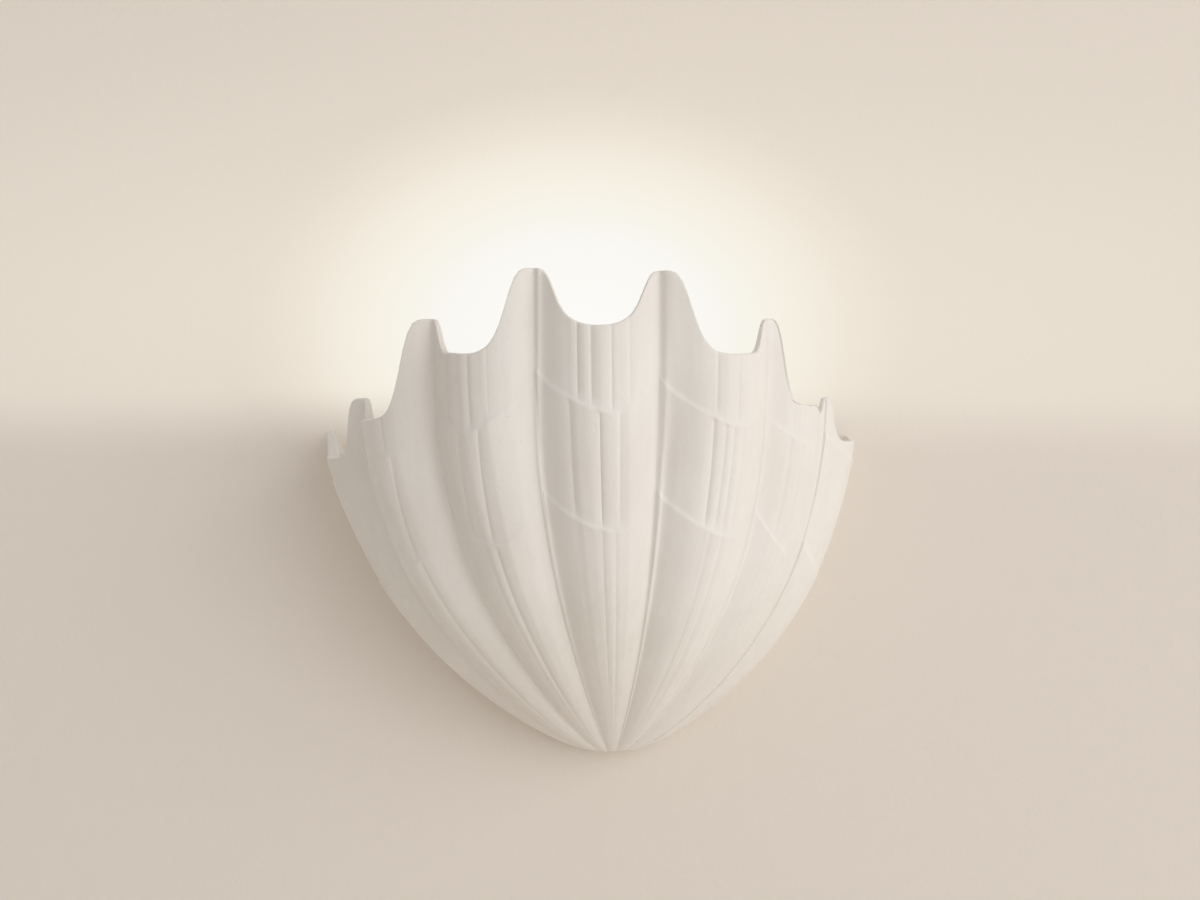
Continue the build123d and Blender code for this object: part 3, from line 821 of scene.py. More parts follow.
def coil(
    shape: bmesh.types.BMesh,
    start: Vector,
    radius: float,
    wire: float,
    turns: float,
    length: float,
    steps: int,
    sides: int,
) -> None:
    """Add a wire wound round an axis along X.

    Args:
        shape: Where the coil goes.
        start: Where the coil's axis begins.
        radius: Of the coil, to the wire's middle.
        wire: The wire's radius.
        turns: Number of turns.
        length: From the first turn's middle to the last one's.
        steps: Sections in each turn.
        sides: Faces round the wire.
    """
    across = Matrix.Translation(start + Vector((0, 0, radius))) @ QUARTER_TURN
    made = bmesh.ops.create_circle(shape, cap_ends=True, segments=sides, radius=wire, matrix=across)
    corners = made["verts"]
    faces = faces_of(corners)
    count = round(turns * steps)
    before = set(shape.faces) - set(faces)
    bmesh.ops.spin(
        shape,
        geom=corners + edges_of(corners) + faces,
        cent=start,
        axis=(1, 0, 0),
        dvec=(length / count, 0, 0),
        angle=2 * pi * turns,
        steps=count,
        use_merge=False,
        use_duplicate=False,
    )
    bmesh.ops.recalc_face_normals(shape, faces=[f for f in shape.faces if f not in before])


# ---------------------------------------------------------------- shell


class Tier(Enum):
    """The three bands of growth, parted by the two ledges."""

    BEAK = 0
    MIDDLE = 1
    RIM = 2


Rises = tuple[float, ...]
Bands = dict[Tier, tuple[Grid, Grid]]


def eased(share: Grid) -> Grid:
    """Return a share held between 0 and 1, with soft ends."""
    held = np.clip(share, 0, 1)
    return held * held * (3 - 2 * held)


@dataclass(frozen=True)
class Groove:
    """A fine line down one rib, inside one band of growth."""

    rib: int
    tier: Tier
    place: float
    depth: float = 0.6
    drift: float = 0.0


@dataclass(frozen=True)
class Cord:
    """The raised cord in a valley, with its places and widths from the beak to the rim."""

    offsets: tuple[float, float, float]
    widths: tuple[float, float, float]
    height: float


@dataclass(frozen=True)
class Ledge:
    """A growth line that hangs from valley to valley across the ribs."""

    valleys: tuple[float, ...]
    crowns: tuple[float, ...]
    lows: tuple[float, ...]
    proud: float
    fade: float


@dataclass
class ShellCasting:
    """The fluted half bowl: ribs that fan from a beak to a scalloped rim."""

    mount_height: float = 150.0
    ribs: int = 7
    half_width: float = 147.8
    reach: float = 129.7
    flank_height: float = 260.0
    flank_power: float = 2.85
    belly_root: float = 1.13
    beak_half_width: float = 15.7
    beak_skew: float = 10.0
    beak_crowding: float = 0.35
    rib_rises: tuple[float, ...] = (0.27, 0.37, 0.31, 0.27, 0.27, 0.16, 0.19)
    inner_rises: tuple[float, ...] = (0.19,) * 7
    wing_flares: tuple[float, float] = (33.0, 12.4)
    wall: float = 3.0
    floor: float = 7.0
    belly_side: float = 0.12
    valley_drift: tuple[float, ...] = (0.0, 1.5, 1.5, 0.0, 0.0, 0.0, -3.0, 0.0)
    rim_dips: tuple[float, ...] = (174.5, 196.0, 231.0, 245.7, 231.0, 204.0, 184.0)
    rim_peaks: tuple[float, ...] = (190.8, 208.6, 251.0, 277.2, 275.8, 251.5, 209.0, 187.5)
    tongue_breadths: tuple[float, ...] = (0.50, 0.34, 0.52, 0.63, 0.63, 0.50, 0.28, 0.50)
    tongue_steepness: float = 4.8
    tongue_lean: float = 0.03
    tongue_sag: float = 0.07
    dip_level: float = 0.18  # share of a rib on each side of its middle where the dip is level
    rim_round: float = 1.3
    rim_turns: tuple[float, ...] = (22.5, 45, 67.5, 90)
    rim_thinning: float = 1.8
    rim_taper: float = 24.0
    rim_taper_power: float = 1.5
    rim_tries: int = 40
    wall_gap: float = 1.0
    wall_start: float = 0.98  # first place tried, as a share of the end rib's half width
    wall_tries: int = 12
    lug_inner: float = 99.0
    lug_half_height: float = 19.0
    lug_front: float = 31.0
    lug_back: float = 13.0
    lug_round: float = 3.0
    lug_bedding: float = 0.55  # share of the wall that the lug's far end reaches into
    lug_samples: int = 60
    columns_per_rib: int = 70
    samples: int = 2001  # places across each rib that the columns are shared out over
    valley_crowding: tuple[float, float] = (4.0, 0.14)  # strength and spread of closer columns
    groove_crowding: tuple[float, float] = (5.0, 0.035)
    outer_rows: tuple[int, ...] = (58, 9, 30, 9, 28)  # below, across and between the ledges
    ledge_rows: tuple[float, float] = (3.0, 1.5)  # how far the closer rows reach down and up
    beak_spacing: float = 1.55
    inner_rows: int = 46
    inner_spacing: float = 1.4
    ledge_hang: float = 1.6
    ledge_rim_gap: float = 6.0
    ledge_step: float = 4.0
    ledge_wane: float = 1.2
    ledge_right: tuple[float, float, float] = (0.05, 0.6, 0.85)  # start, width and loss
    fillet_fill: float = 0.62
    inner_fillet: tuple[float, float] = (0.4, 4.0)  # fill and reach
    full_arc: float = 38.0  # half width of a rib past which its relief has its full size
    least_scale: float = 0.12
    plain_reach: float = 7.0  # how far out of a valley the smooth bowl's direction holds
    groove_widths: tuple[float, float] = (1.5, 5.0)
    groove_skirt: float = 0.25
    groove_start: float = 6.0
    groove_end: float = 2.5
    beak_groove_from: float = 12.0
    beak_groove_start: float = 40.0
    beyond_rim: float = 40.0
    relief_from: float = 8.0  # height over which the relief grows from nothing
    inner_relief_from: float = 10.0
    swell: float = 0.10  # height of the slow waves that handwork leaves
    streaks: float = 0.09  # height of the fine waves drawn up each rib
    grooves: tuple[Groove, ...] = (
        Groove(1, Tier.RIM, -0.35, 0.35),
        Groove(1, Tier.RIM, 0.12, 0.6),
        Groove(1, Tier.MIDDLE, -0.22, 0.5, -0.1),
        Groove(1, Tier.MIDDLE, 0.16, 0.7, -0.12),
        Groove(1, Tier.BEAK, -0.22, 0.45),
        Groove(1, Tier.BEAK, 0.16, 0.7),
        Groove(2, Tier.RIM, -0.55, 0.6),
        Groove(2, Tier.RIM, -0.10, 0.7),
        Groove(2, Tier.RIM, 0.20, 0.3),
        Groove(2, Tier.MIDDLE, -0.40, 0.7, -0.1),
        Groove(2, Tier.MIDDLE, -0.02, 0.75, -0.08),
        Groove(2, Tier.BEAK, -0.22, 0.3),
        Groove(2, Tier.BEAK, -0.02, 0.75),
        Groove(3, Tier.RIM, -0.31, 0.85),
        Groove(3, Tier.RIM, -0.11, 0.85),
        Groove(3, Tier.RIM, 0.18, 0.8),
        Groove(3, Tier.RIM, 0.44, 0.55),
        Groove(3, Tier.MIDDLE, -0.43, 0.7),
        Groove(3, Tier.MIDDLE, 0.00, 0.9),
        Groove(3, Tier.MIDDLE, 0.29, 0.6),
        Groove(3, Tier.BEAK, 0.00, 0.3),
        Groove(3, Tier.BEAK, 0.22, 0.25),
        Groove(4, Tier.RIM, -0.12, 0.75),
        Groove(4, Tier.RIM, 0.24, 0.6),
        Groove(4, Tier.MIDDLE, -0.16, 0.95),
        Groove(4, Tier.MIDDLE, 0.03, 0.8),
        Groove(4, Tier.MIDDLE, 0.18, 0.6),
        Groove(4, Tier.MIDDLE, 0.36, 0.6),
        Groove(4, Tier.BEAK, -0.05, 0.4),
        Groove(4, Tier.BEAK, 0.2, 0.3),
        Groove(5, Tier.RIM, -0.28, 0.5),
        Groove(5, Tier.RIM, -0.12, 0.4),
        Groove(5, Tier.MIDDLE, -0.3, 0.4),
        Groove(5, Tier.MIDDLE, 0.05, 0.35),
        Groove(5, Tier.BEAK, -0.1, 0.3),
    )
    fillets: tuple[float, ...] = (3.4, 3.4, 3.4, 3.4, 3.4, 4.5, 5.0, 3.4)
    cord_thinning: float = 0.7
    cord_rise: tuple[float, float, float] = (10.0, 110.0, 0.4)  # from where, over what, least
    cord_levels: tuple[float, float, float] = (60.0, 170.0, 245.0)
    cords: tuple[Cord, ...] = (
        Cord((0.5, 0.5, 0.5), (2.2, 2.4, 2.6), 1.2),
        Cord((0.8, 0.5, 1.0), (2.6, 2.8, 4.0), 1.4),
        Cord((1.5, -1.5, 1.6), (2.8, 3.0, 3.4), 2.3),
        Cord((0.5, 1.5, 4.5), (2.8, 3.2, 6.5), 2.3),
        Cord((0.5, 1.0, 2.0), (2.6, 2.8, 4.5), 1.4),
        Cord((0.5, 0.5, 0.5), (4.0, 4.0, 4.0), 0.4),
    )
    upper_ledge: Ledge = Ledge(
        (163, 171, 195, 222, 218, 199, 189, 176),
        (160, 169, 189, 199, 192, 182, 174),
        (-0.3, -0.5, -0.2, 0.2, 0.3, 0.3, 0.2),
        0.8,
        40.0,
    )
    lower_ledge: Ledge = Ledge(
        (104, 120, 138, 157, 157, 148, 127, 106),
        (102, 113, 127, 135, 131, 119, 106),
        (-0.3, -0.3, 0.0, 0.2, 0.4, 0.5, 0.3),
        0.75,
        55.0,
    )

    def growth_left(self, height: Grid) -> Grid:
        """Return the share of the flank's height still above each point."""
        return 1 - np.minimum(height / self.flank_height, 1)

    def hoop(self, index: Grid, height: Grid, inset: float) -> tuple[Grid, Grid]:
        """Return plan points on the smooth bowl that joins the valleys.

        Args:
            index: Valley number, whole or between two valleys.
            height: Above the beak.
            inset: In from the outside.

        Returns:
            The points' X and Y.
        """
        left = self.growth_left(height)
        swing = np.interp(index, np.arange(self.ribs + 1), self.swings())
        root = self.belly_root + self.belly_side * np.sin(np.radians(swing)) ** 2
        growth = (1 - left**self.flank_power) ** (1 / root)
        crowding = self.beak_crowding * left**3 * (1 - (swing / 90) ** 2)
        angle = np.radians(swing * (1 - crowding))
        size = self.beak_half_width + (self.half_width - self.beak_half_width) * growth - inset
        flare = np.where(np.isclose(index, 0), self.wing_flares[0], 0)
        flare = np.where(np.isclose(index, self.ribs), self.wing_flares[1], flare)
        size = size + flare * (height / self.flank_height) ** 3
        x = self.beak_skew * left**2 + size * np.sin(angle)
        return x, -size * self.reach / self.half_width * np.cos(angle)

    def bowed(
        self, rib: Grid, turn: Grid, height: Grid, inset: Grid | float, rises: Rises
    ) -> tuple[Grid, Grid, Grid]:
        """Return plan points on the ribs' round backs.

        Args:
            rib: Number of each column's rib.
            turn: Place across the rib, from -1 to 1.
            height: Above the level where the section starts.
            inset: In from the outside.
            rises: Height of each rib's bow, as a share of its chord.

        Returns:
            The points' X and Y, and each rib's half width along its back.
        """
        rise = np.asarray(rises)[np.asarray(rib).astype(int)]
        start_x, start_y = self.hoop(rib, height, inset)
        end_x, end_y = self.hoop(rib + 1, height, inset)
        chord = np.hypot(end_x - start_x, end_y - start_y)
        along_x, along_y = (end_x - start_x) / chord, (end_y - start_y) / chord
        radius = chord * (1 + 4 * rise**2) / (8 * rise)
        half_turn = np.arcsin(chord / 2 / radius)
        sideways = radius * np.sin(half_turn * turn)
        outward = chord * rise - radius + radius * np.cos(half_turn * turn)
        x = (start_x + end_x) / 2 + along_x * sideways + along_y * outward
        y = (start_y + end_y) / 2 + along_y * sideways - along_x * outward
        return x, y, radius * half_turn

    def rim_height(self, x: Grid, y: Grid) -> Grid:
        """Return the scalloped rim's height over plan points.

        Args:
            x: Across the wall.
            y: Out from the wall.

        Returns:
            The heights above the beak.
        """
        angle = np.degrees(np.arctan2(x / self.half_width, -y / self.reach))
        index = np.interp(angle, self.swings(), np.arange(self.ribs + 1))
        nearest = np.rint(index).astype(int)
        peak = np.array(self.rim_peaks)[nearest]
        breadth = np.array(self.tongue_breadths)[nearest]
        lean = self.tongue_lean * np.clip(self.ribs - 2 * index, -1, 1)
        offset = np.abs(np.sin(pi * (index + lean))) / breadth
        rest = 1 / (1 + breadth**-self.tongue_steepness)
        tongue = (1 / (1 + offset**self.tongue_steepness) - rest) / (1 - rest)
        dip = self.dip_height(index)
        sagged = 1 - self.tongue_sag * np.minimum(offset, 1) ** 2
        return dip + (peak - dip) * np.maximum(tongue, 0) * sagged

    def dip_height(self, index: Grid) -> Grid:
        """Return the rim's height between tongues, level over each rib.

        Args:
            index: Valley number, whole or between two valleys.

        Returns:
            The heights above the beak.
        """
        place = np.clip(index - 0.5, 0, self.ribs - 1)
        step = eased((place % 1 - self.dip_level) / (1 - 2 * self.dip_level))
        return np.interp(np.floor(place) + step, np.arange(self.ribs), self.rim_dips)

    def swings(self) -> Grid:
        """Return the valleys' directions round the bowl, in degrees from the front."""
        return 180 * np.arange(self.ribs + 1) / self.ribs - 90 + np.array(self.valley_drift)

    def column_places(self) -> tuple[Grid, Grid]:
        """Share out the columns of points, closer together at valleys and grooves.

        Returns:
            Number of each column's rib, and its place across the rib, from -1 to 1.
        """
        fine = np.linspace(-1, 1, self.samples)
        at_valley, valley_spread = self.valley_crowding
        at_groove, groove_spread = self.groove_crowding
        ribs, turns = [], []
        for rib in range(self.ribs):
            density = 1 + at_valley * np.exp(-(((1 - np.abs(fine)) / valley_spread) ** 2))
            for groove in self.grooves:
                if groove.rib == rib:
                    density += at_groove * np.exp(-(((fine - groove.place) / groove_spread) ** 2))
            share = np.concatenate([[0], np.cumsum((density[1:] + density[:-1]) / 2)])
            places = np.interp(np.linspace(0, 1, self.columns_per_rib + 1), share / share[-1], fine)
            turns.append(places[:-1])
            ribs.append(np.full(self.columns_per_rib, rib))
        turns.append(np.array([1.0]))
        ribs.append(np.array([self.ribs - 1]))
        return np.concatenate(ribs).astype(float), np.concatenate(turns)

    def ledge_height(self, ledge: Ledge, rib: Grid, turn: Grid) -> Grid:
        """Return a ledge's height over each column.

        Args:
            ledge: The ledge.
            rib: Number of each column's rib.
            turn: Place of each column across its rib.

        Returns:
            The heights above the beak.
        """
        number = rib.astype(int)
        crown = np.array(ledge.crowns)[number]
        low = np.array(ledge.lows)[number]
        left = np.array(ledge.valleys)[number]
        right = np.array(ledge.valleys)[number + 1]
        share = np.where(turn < low, (low - turn) / (1 + low), (turn - low) / (1 - low))
        return crown + (np.where(turn < low, left, right) - crown) * share**self.ledge_hang

    def rim_over(self, rib: Grid, turn: Grid, inset: float, rises: Rises, lift: float) -> Grid:
        """Return the rim's height over each column, where the column meets the scalloped cut.

        Args:
            rib: Number of each column's rib.
            turn: Place of each column across its rib.
            inset: In from the outside.
            rises: Height of each rib's bow, as a share of its chord.
            lift: Height of the level where the section starts.

        Returns:
            The heights above the beak.
        """
        height = np.full(rib.shape, self.rim_dips[self.ribs // 2])
        for _ in range(self.rim_tries):
            x, y, _ = self.bowed(rib, turn, height - lift, inset, rises)
            height = (height + self.rim_height(x, y)) / 2
        return height

    def clear_of_wall(
        self, rib: Grid, turn: Grid, height: Grid, inset: Grid | float, rises: Rises
    ) -> Grid:
        """Return each point's place across its rib, with the end ribs drawn in to clear the wall.

        Args:
            rib: Number of each column's rib.
            turn: Place of each column across its rib.
            height: Height of each point above the level where its section starts.
            inset: In from the outside.
            rises: Height of each rib's bow, as a share of its chord.

        Returns:
            The places, for each row and column.
        """
        turns = np.array(np.broadcast_to(turn, height.shape))
        for end, column, number in ((-1, 0, 0), (1, -1, self.ribs - 1)):
            levels = height[:, column]
            depth = inset[:, column] if isinstance(inset, np.ndarray) else inset
            place = np.full(levels.shape, end * self.wall_start)
            for _ in range(self.wall_tries):
                _, y, _ = self.bowed(np.full(levels.shape, number), place, levels, depth, rises)
                place = end + (place - end) * self.wall_gap / np.maximum(-y, 1e-6)
            drawn = ((1 + end * place) / 2)[:, None]
            turns = np.where(rib == number, (turn + end) * drawn - end, turns)
        return turns

    @staticmethod
    def directions(x: Grid, y: Grid, z: Grid) -> Grid:
        """Return the outward direction at each point of a grid of points.

        Args:
            x: The points' places across the wall.
            y: Their places out from the wall.
            z: Their heights.

        Returns:
            A direction of length 1 for each point.
        """
        points = np.stack([x, y, z], axis=-1)
        across = np.gradient(points, axis=1)
        upward = np.gradient(points, axis=0)
        normal = np.cross(across, upward)
        length = np.linalg.norm(normal, axis=-1, keepdims=True)
        return normal / np.maximum(length, 1e-9)

    def relief_scale(self, half_arc: Grid) -> Grid:
        """Return the size of the relief against its full size, smallest at the beak."""
        return np.clip(half_arc / self.full_arc, self.least_scale, 1)

    def valley_relief(
        self, rib: Grid, turn: Grid, height: Grid, half_arc: Grid, scale: Grid
    ) -> Grid:
        """Return how far the fillets and cords stand out in the valleys.

        Args:
            rib: Number of each point's rib.
            turn: Place of each point across its rib.
            height: Height of each point above the beak.
            half_arc: Half width of each point's rib along its back.
            scale: Size of the relief against its full size.

        Returns:
            The distance outward at each point.
        """
        reach = (1 - np.abs(turn)) * half_arc
        round_off = np.array(self.fillets)[rib.astype(int) + (turn > 0)] * scale
        relief = self.fillet_fill * (np.sqrt(reach**2 + round_off**2) - reach)
        low, growth, least = self.cord_rise
        for number, cord in enumerate(self.cords, start=1):
            right_side = (rib == number) & (turn < 0)
            left_side = (rib == number - 1) & (turn >= 0)
            signed = np.where(right_side, reach, -reach)
            offset = np.interp(height, self.cord_levels, cord.offsets)
            width = np.interp(height, self.cord_levels, cord.widths)
            bead = np.exp(-(((signed - offset * scale) / (width * scale)) ** 2))
            bead = bead * scale**self.cord_thinning * np.clip((height - low) / growth, least, 1)
            relief = relief + np.where(right_side | left_side, cord.height * bead, 0)
        return relief

    def ledge_relief(self, ledge: Ledge, height: Grid, line: Grid, turn: Grid) -> Grid:
        """Return how far a lower band of growth stands out under its ledge, least on the right.

        Args:
            ledge: The ledge.
            height: Height of each point above the beak.
            line: The ledge's height over each column.
            turn: Place of each point across its rib.

        Returns:
            The distance outward at each point.
        """
        under = line - height
        start, width, loss = self.ledge_right
        step = eased(under / self.ledge_step + 0.5)
        away = np.clip(1 - under / ledge.fade, 0, 1) ** self.ledge_wane
        return ledge.proud * step * away * (1 - loss * eased((turn - start) / width))

    def groove_relief(
        self, rib: Grid, turn: Grid, height: Grid, half_arc: Grid, bands: Bands
    ) -> Grid:
        """Return how deep the fine lines cut below the ribs' backs.

        Args:
            rib: Number of each point's rib.
            turn: Place of each point across its rib.
            height: Height of each point above the beak.
            half_arc: Half width of each point's rib along its back.
            bands: Lowest and highest line of each band of growth.

        Returns:
            The depth at each point.
        """
        narrow, wide = self.groove_widths
        depth = np.zeros_like(height)
        for groove in self.grooves:
            low, high = bands[groove.tier]
            rise = np.clip((height - low) / (high - low), 0, 1)
            centre = groove.place - groove.drift * (rise - 0.5)
            away = np.abs(turn - centre) * half_arc
            start = self.beak_groove_start if groove.tier is Tier.BEAK else self.groove_start
            inside = np.clip((height - low) / start, 0, 1)
            inside = inside * np.clip((high - height) / self.groove_end, 0, 1)
            cut = np.exp(-away / narrow) + self.groove_skirt * np.exp(-away / wide)
            depth += np.where(rib == groove.rib, groove.depth * cut * inside, 0)
        return depth

    def outer_heights(self, rib: Grid, turn: Grid, rim: Grid) -> tuple[Grid, Grid, Grid]:
        """Return the outer rows' heights and the heights of both ledges over each column.

        Args:
            rib: Number of each column's rib.
            turn: Place of each column across its rib.
            rim: The rim's height over each column.

        Returns:
            The rows' heights, the lower ledge's and the upper ledge's.
        """
        upper = self.ledge_height(self.upper_ledge, rib, turn)
        upper = np.minimum(upper, rim - self.ledge_rim_gap)
        lower = self.ledge_height(self.lower_ledge, rib, turn)
        top = rim - self.rim_round
        down, up = self.ledge_rows
        lines = [np.zeros_like(rim), lower - down, lower + up, upper - down, upper + up, top]
        rows = []
        for low, high, count in zip(lines, lines[1:], self.outer_rows):
            power = 1.0 if rows else self.beak_spacing
            rows += [low + (high - low) * (step / count) ** power for step in range(count)]
        rows.append(top)
        return np.array(rows), lower, upper

    def outer_points(self, rib: Grid, turn: Grid) -> Grid:
        """Return the grid of points on the outside, from the beak to the rim.

        Args:
            rib: Number of each column's rib.
            turn: Place of each column across its rib.

        Returns:
            The points, row by row.
        """
        rim = self.rim_over(rib, turn, 0, self.rib_rises, 0)
        heights, lower, upper = self.outer_heights(rib, turn, rim)
        ribs = np.broadcast_to(rib, heights.shape)
        turns = self.clear_of_wall(rib, turn, heights, 0.0, self.rib_rises)
        x, y, half_arc = self.bowed(ribs, turns, heights, 0, self.rib_rises)
        backs = self.directions(x, y, heights)
        plain_x, plain_y = self.hoop(ribs + (turns + 1) / 2, heights, 0)
        plain = self.directions(plain_x, plain_y, heights)
        scale = self.relief_scale(half_arc)
        reach = (1 - np.abs(turns)) * half_arc
        share = np.exp(-((reach / (self.plain_reach * scale)) ** 2))[..., None]
        outward = plain * share + backs * (1 - share)
        outward /= np.maximum(np.linalg.norm(outward, axis=-1, keepdims=True), 1e-9)
        bands = {
            Tier.BEAK: (np.full_like(rim, self.beak_groove_from), lower),
            Tier.MIDDLE: (lower, upper),
            Tier.RIM: (upper, rim + self.beyond_rim),
        }
        relief = self.valley_relief(ribs, turns, heights, half_arc, scale)
        relief = relief + self.ledge_relief(self.upper_ledge, heights, upper, turns)
        relief = relief + self.ledge_relief(self.lower_ledge, heights, lower, turns)
        relief = relief - self.groove_relief(ribs, turns, heights, half_arc, bands)
        swell = np.sin(x / 23 + 1.3) * np.sin(heights / 31 + 0.4) + np.sin(x / 11 - heights / 17)
        drawn = np.sin(18 * turns + 2 * ribs) + 0.7 * np.sin(33 * turns + 5 * ribs + heights / 45)
        relief = relief + self.swell * swell + self.streaks * scale * drawn
        relief = relief * np.clip(heights / self.relief_from, 0, 1)
        points = np.stack([x, y, heights], axis=-1) + outward * relief[..., None]
        points[..., 2] = np.where(heights > self.relief_from, points[..., 2], heights)
        return points

    def inner_points(self, rib: Grid, turn: Grid) -> Grid:
        """Return the grid of points on the inside, from the rim down to the floor.

        Args:
            rib: Number of each column's rib.
            turn: Place of each column across its rib.

        Returns:
            The points, row by row.
        """
        rim = self.rim_over(rib, turn, self.wall, self.inner_rises, self.floor)
        steps = np.linspace(1, 0, self.inner_rows)[:, None] ** self.inner_spacing
        heights = self.floor + (rim - self.rim_round - self.floor) * steps
        near_rim = np.clip(1 - (rim - heights) / self.rim_taper, 0, 1) ** self.rim_taper_power
        inset = self.wall - self.rim_thinning * near_rim
        ribs = np.broadcast_to(rib, heights.shape)
        turns = self.clear_of_wall(rib, turn, heights - self.floor, inset, self.inner_rises)
        x, y, half_arc = self.bowed(ribs, turns, heights - self.floor, inset, self.inner_rises)
        plain_x, plain_y = self.hoop(ribs + (turns + 1) / 2, heights - self.floor, inset)
        plain = self.directions(plain_x, plain_y, heights)
        reach = (1 - np.abs(turns)) * half_arc
        fill, width = self.inner_fillet
        soften = fill * (np.sqrt(reach**2 + (width * self.relief_scale(half_arc)) ** 2) - reach)
        soften = soften * np.clip((heights - self.floor) / self.inner_relief_from, 0, 1)
        level = np.sign(np.sum(plain[..., :2] * np.stack([x, y], axis=-1), axis=-1))
        plain = plain * level[..., None]
        plain[..., 2] = 0
        return np.stack([x, y, heights], axis=-1) + plain * soften[..., None]

    def rim_points(self, outer: Grid, inner: Grid) -> Grid:
        """Return the rows that roll over the rim.

        Args:
            outer: Points of the outer edge.
            inner: Points of the inner edge.

        Returns:
            The points, row by row from the outer to the inner edge.
        """
        across = inner - outer
        across[:, 2] = 0
        across /= np.linalg.norm(across, axis=-1, keepdims=True)
        rows = []
        for edge, side, turns in ((outer, 1, self.rim_turns), (inner, -1, self.rim_turns[::-1])):
            for turn in turns:
                row = edge + side * across * self.rim_round * (1 - cos(radians(turn)))
                row[:, 2] = edge[:, 2] + self.rim_round * sin(radians(turn))
                rows.append(row)
        return np.array(rows)

    def points(self) -> Grid:
        """Return the whole grid: outside up, over the rim, and inside down.

        Returns:
            The points, row by row, in the CAD model's frame.
        """
        rib, turn = self.column_places()
        outer = self.outer_points(rib, turn)
        inner = self.inner_points(rib, turn)
        rolled = self.rim_points(outer[-1].copy(), inner[0].copy())
        whole = np.concatenate([outer, rolled, inner])
        whole[:, (0, -1), 1] = -self.wall_gap
        whole[..., 2] -= self.mount_height
        return whole

    def lug(self, shape: bmesh.types.BMesh, side: int) -> None:
        """Add one lug, its far end bedded in the bowl's wall.

        Args:
            shape: The casting.
            side: -1 for the left lug, 1 for the right one.
        """
        depth = self.lug_front - self.lug_back
        size = Vector((1, depth, 2 * self.lug_half_height))
        corners = block(shape, size, Vector((0, -(self.lug_front + self.lug_back) / 2, 0)))
        front = [
            edge
            for edge in edges_of(corners)
            if all(abs(corner.co.y + self.lug_front) < HAIR for corner in edge.verts)
        ]
        round_over(shape, front, self.lug_round, 3)
        lug = self._island(corners)
        far = [corner for corner in lug if corner.co.x > 0]
        for corner in lug:
            corner.co.x = side * self.lug_inner
        for corner in far:
            height = corner.co.z + self.mount_height
            corner.co.x = side * self.wall_middle(corner.co.y, height, side)
        bmesh.ops.recalc_face_normals(shape, faces=faces_of(lug))

    @staticmethod
    def _island(seeds: Sequence[bmesh.types.BMVert]) -> list[bmesh.types.BMVert]:
        """Return all corners joined to the given ones.

        Args:
            seeds: Where to start.

        Returns:
            The corners, the given ones among them.
        """
        found = {v for v in seeds if v.is_valid}
        open_ones = list(found)
        while open_ones:
            for edge in open_ones.pop().link_edges:
                for corner in edge.verts:
                    if corner not in found:
                        found.add(corner)
                        open_ones.append(corner)
        return list(found)

    def wall_middle(self, y: float, height: float, side: int) -> float:
        """Return how far out the bowl's wall is, about half way through it.

        Args:
            y: Out from the room's wall.
            height: Above the beak.
            side: -1 for the left, 1 for the right.

        Returns:
            The distance from the middle of the sconce.
        """
        turn = np.linspace(-1, 1, self.lug_samples)
        rib = np.full(turn.shape, 0.0 if side < 0 else self.ribs - 1.0)
        heights = np.full(turn.shape, height)
        inset = self.wall * self.lug_bedding
        x, depth, _ = self.bowed(rib, turn, heights, inset, self.rib_rises)
        order = np.argsort(depth)
        return float(abs(np.interp(y, depth[order], x[order])))

    def build(self) -> bpy.types.Object:
        """Make the casting as one closed skin with its two lugs.

        Returns:
            The casting.
        """
        points = self.points()
        rows, columns = points.shape[:2]
        shape = bmesh.new()
        bmesh.ops.create_grid(shape, x_segments=columns - 1, y_segments=rows - 1, size=1.0)
        for corner in shape.verts:
            column = round((corner.co.x + 1) / 2 * (columns - 1))
            row = round((corner.co.y + 1) / 2 * (rows - 1))
            corner.co = points[row, column]
        self.close(shape)
        bmesh.ops.recalc_face_normals(shape, faces=shape.faces)
        for side in (-1, 1):
            self.lug(shape, side)
        return release(
            shape, "shell_casting", Body.SHELL, Finish.PLASTER, ["shell_body"], 50
        )

    def _at_wall(self, corner: bmesh.types.BMVert) -> bool:
        """Return whether a corner is on the rear edge."""
        return abs(corner.co.y + self.wall_gap) < HAIR

    def close(self, shape: bmesh.types.BMesh) -> None:
        """Close the foot, the floor and the rear edges of the bowl.

        Args:
            shape: The casting, open along its border.
        """
        border = [edge for edge in shape.edges if edge.is_boundary]
        foot, top = -self.mount_height, self.floor - self.mount_height
        at_wall = [v for v in {v for e in border for v in e.verts} if self._at_wall(v)]
        corners = {}
        for level in (foot, top):
            ends = sorted((v for v in at_wall if abs(v.co.z - level) < HAIR), key=lambda v: v.co.x)
            corners[level] = ends
            chord = shape.edges.new(ends)
            ring = [e for e in border if all(abs(v.co.z - level) < HAIR for v in e.verts)]
            bmesh.ops.contextual_create(shape, geom=[*ring, chord])
        closings = [shape.edges.new((low, high)) for low, high in zip(corners[foot], corners[top])]
        middle = (corners[foot][0].co.x + corners[foot][1].co.x) / 2
        for closing, side in zip(closings, (-1, 1)):
            strip = [
                e
                for e in border
                if all(self._at_wall(v) and side * (v.co.x - middle) > 0 for v in e.verts)
            ]
            bmesh.ops.contextual_create(shape, geom=[*strip, closing])
        bmesh.ops.contextual_create(shape, geom=[*corners[foot], *corners[top]])


# ---------------------------------------------------------------- wiring, lamp and small fixings


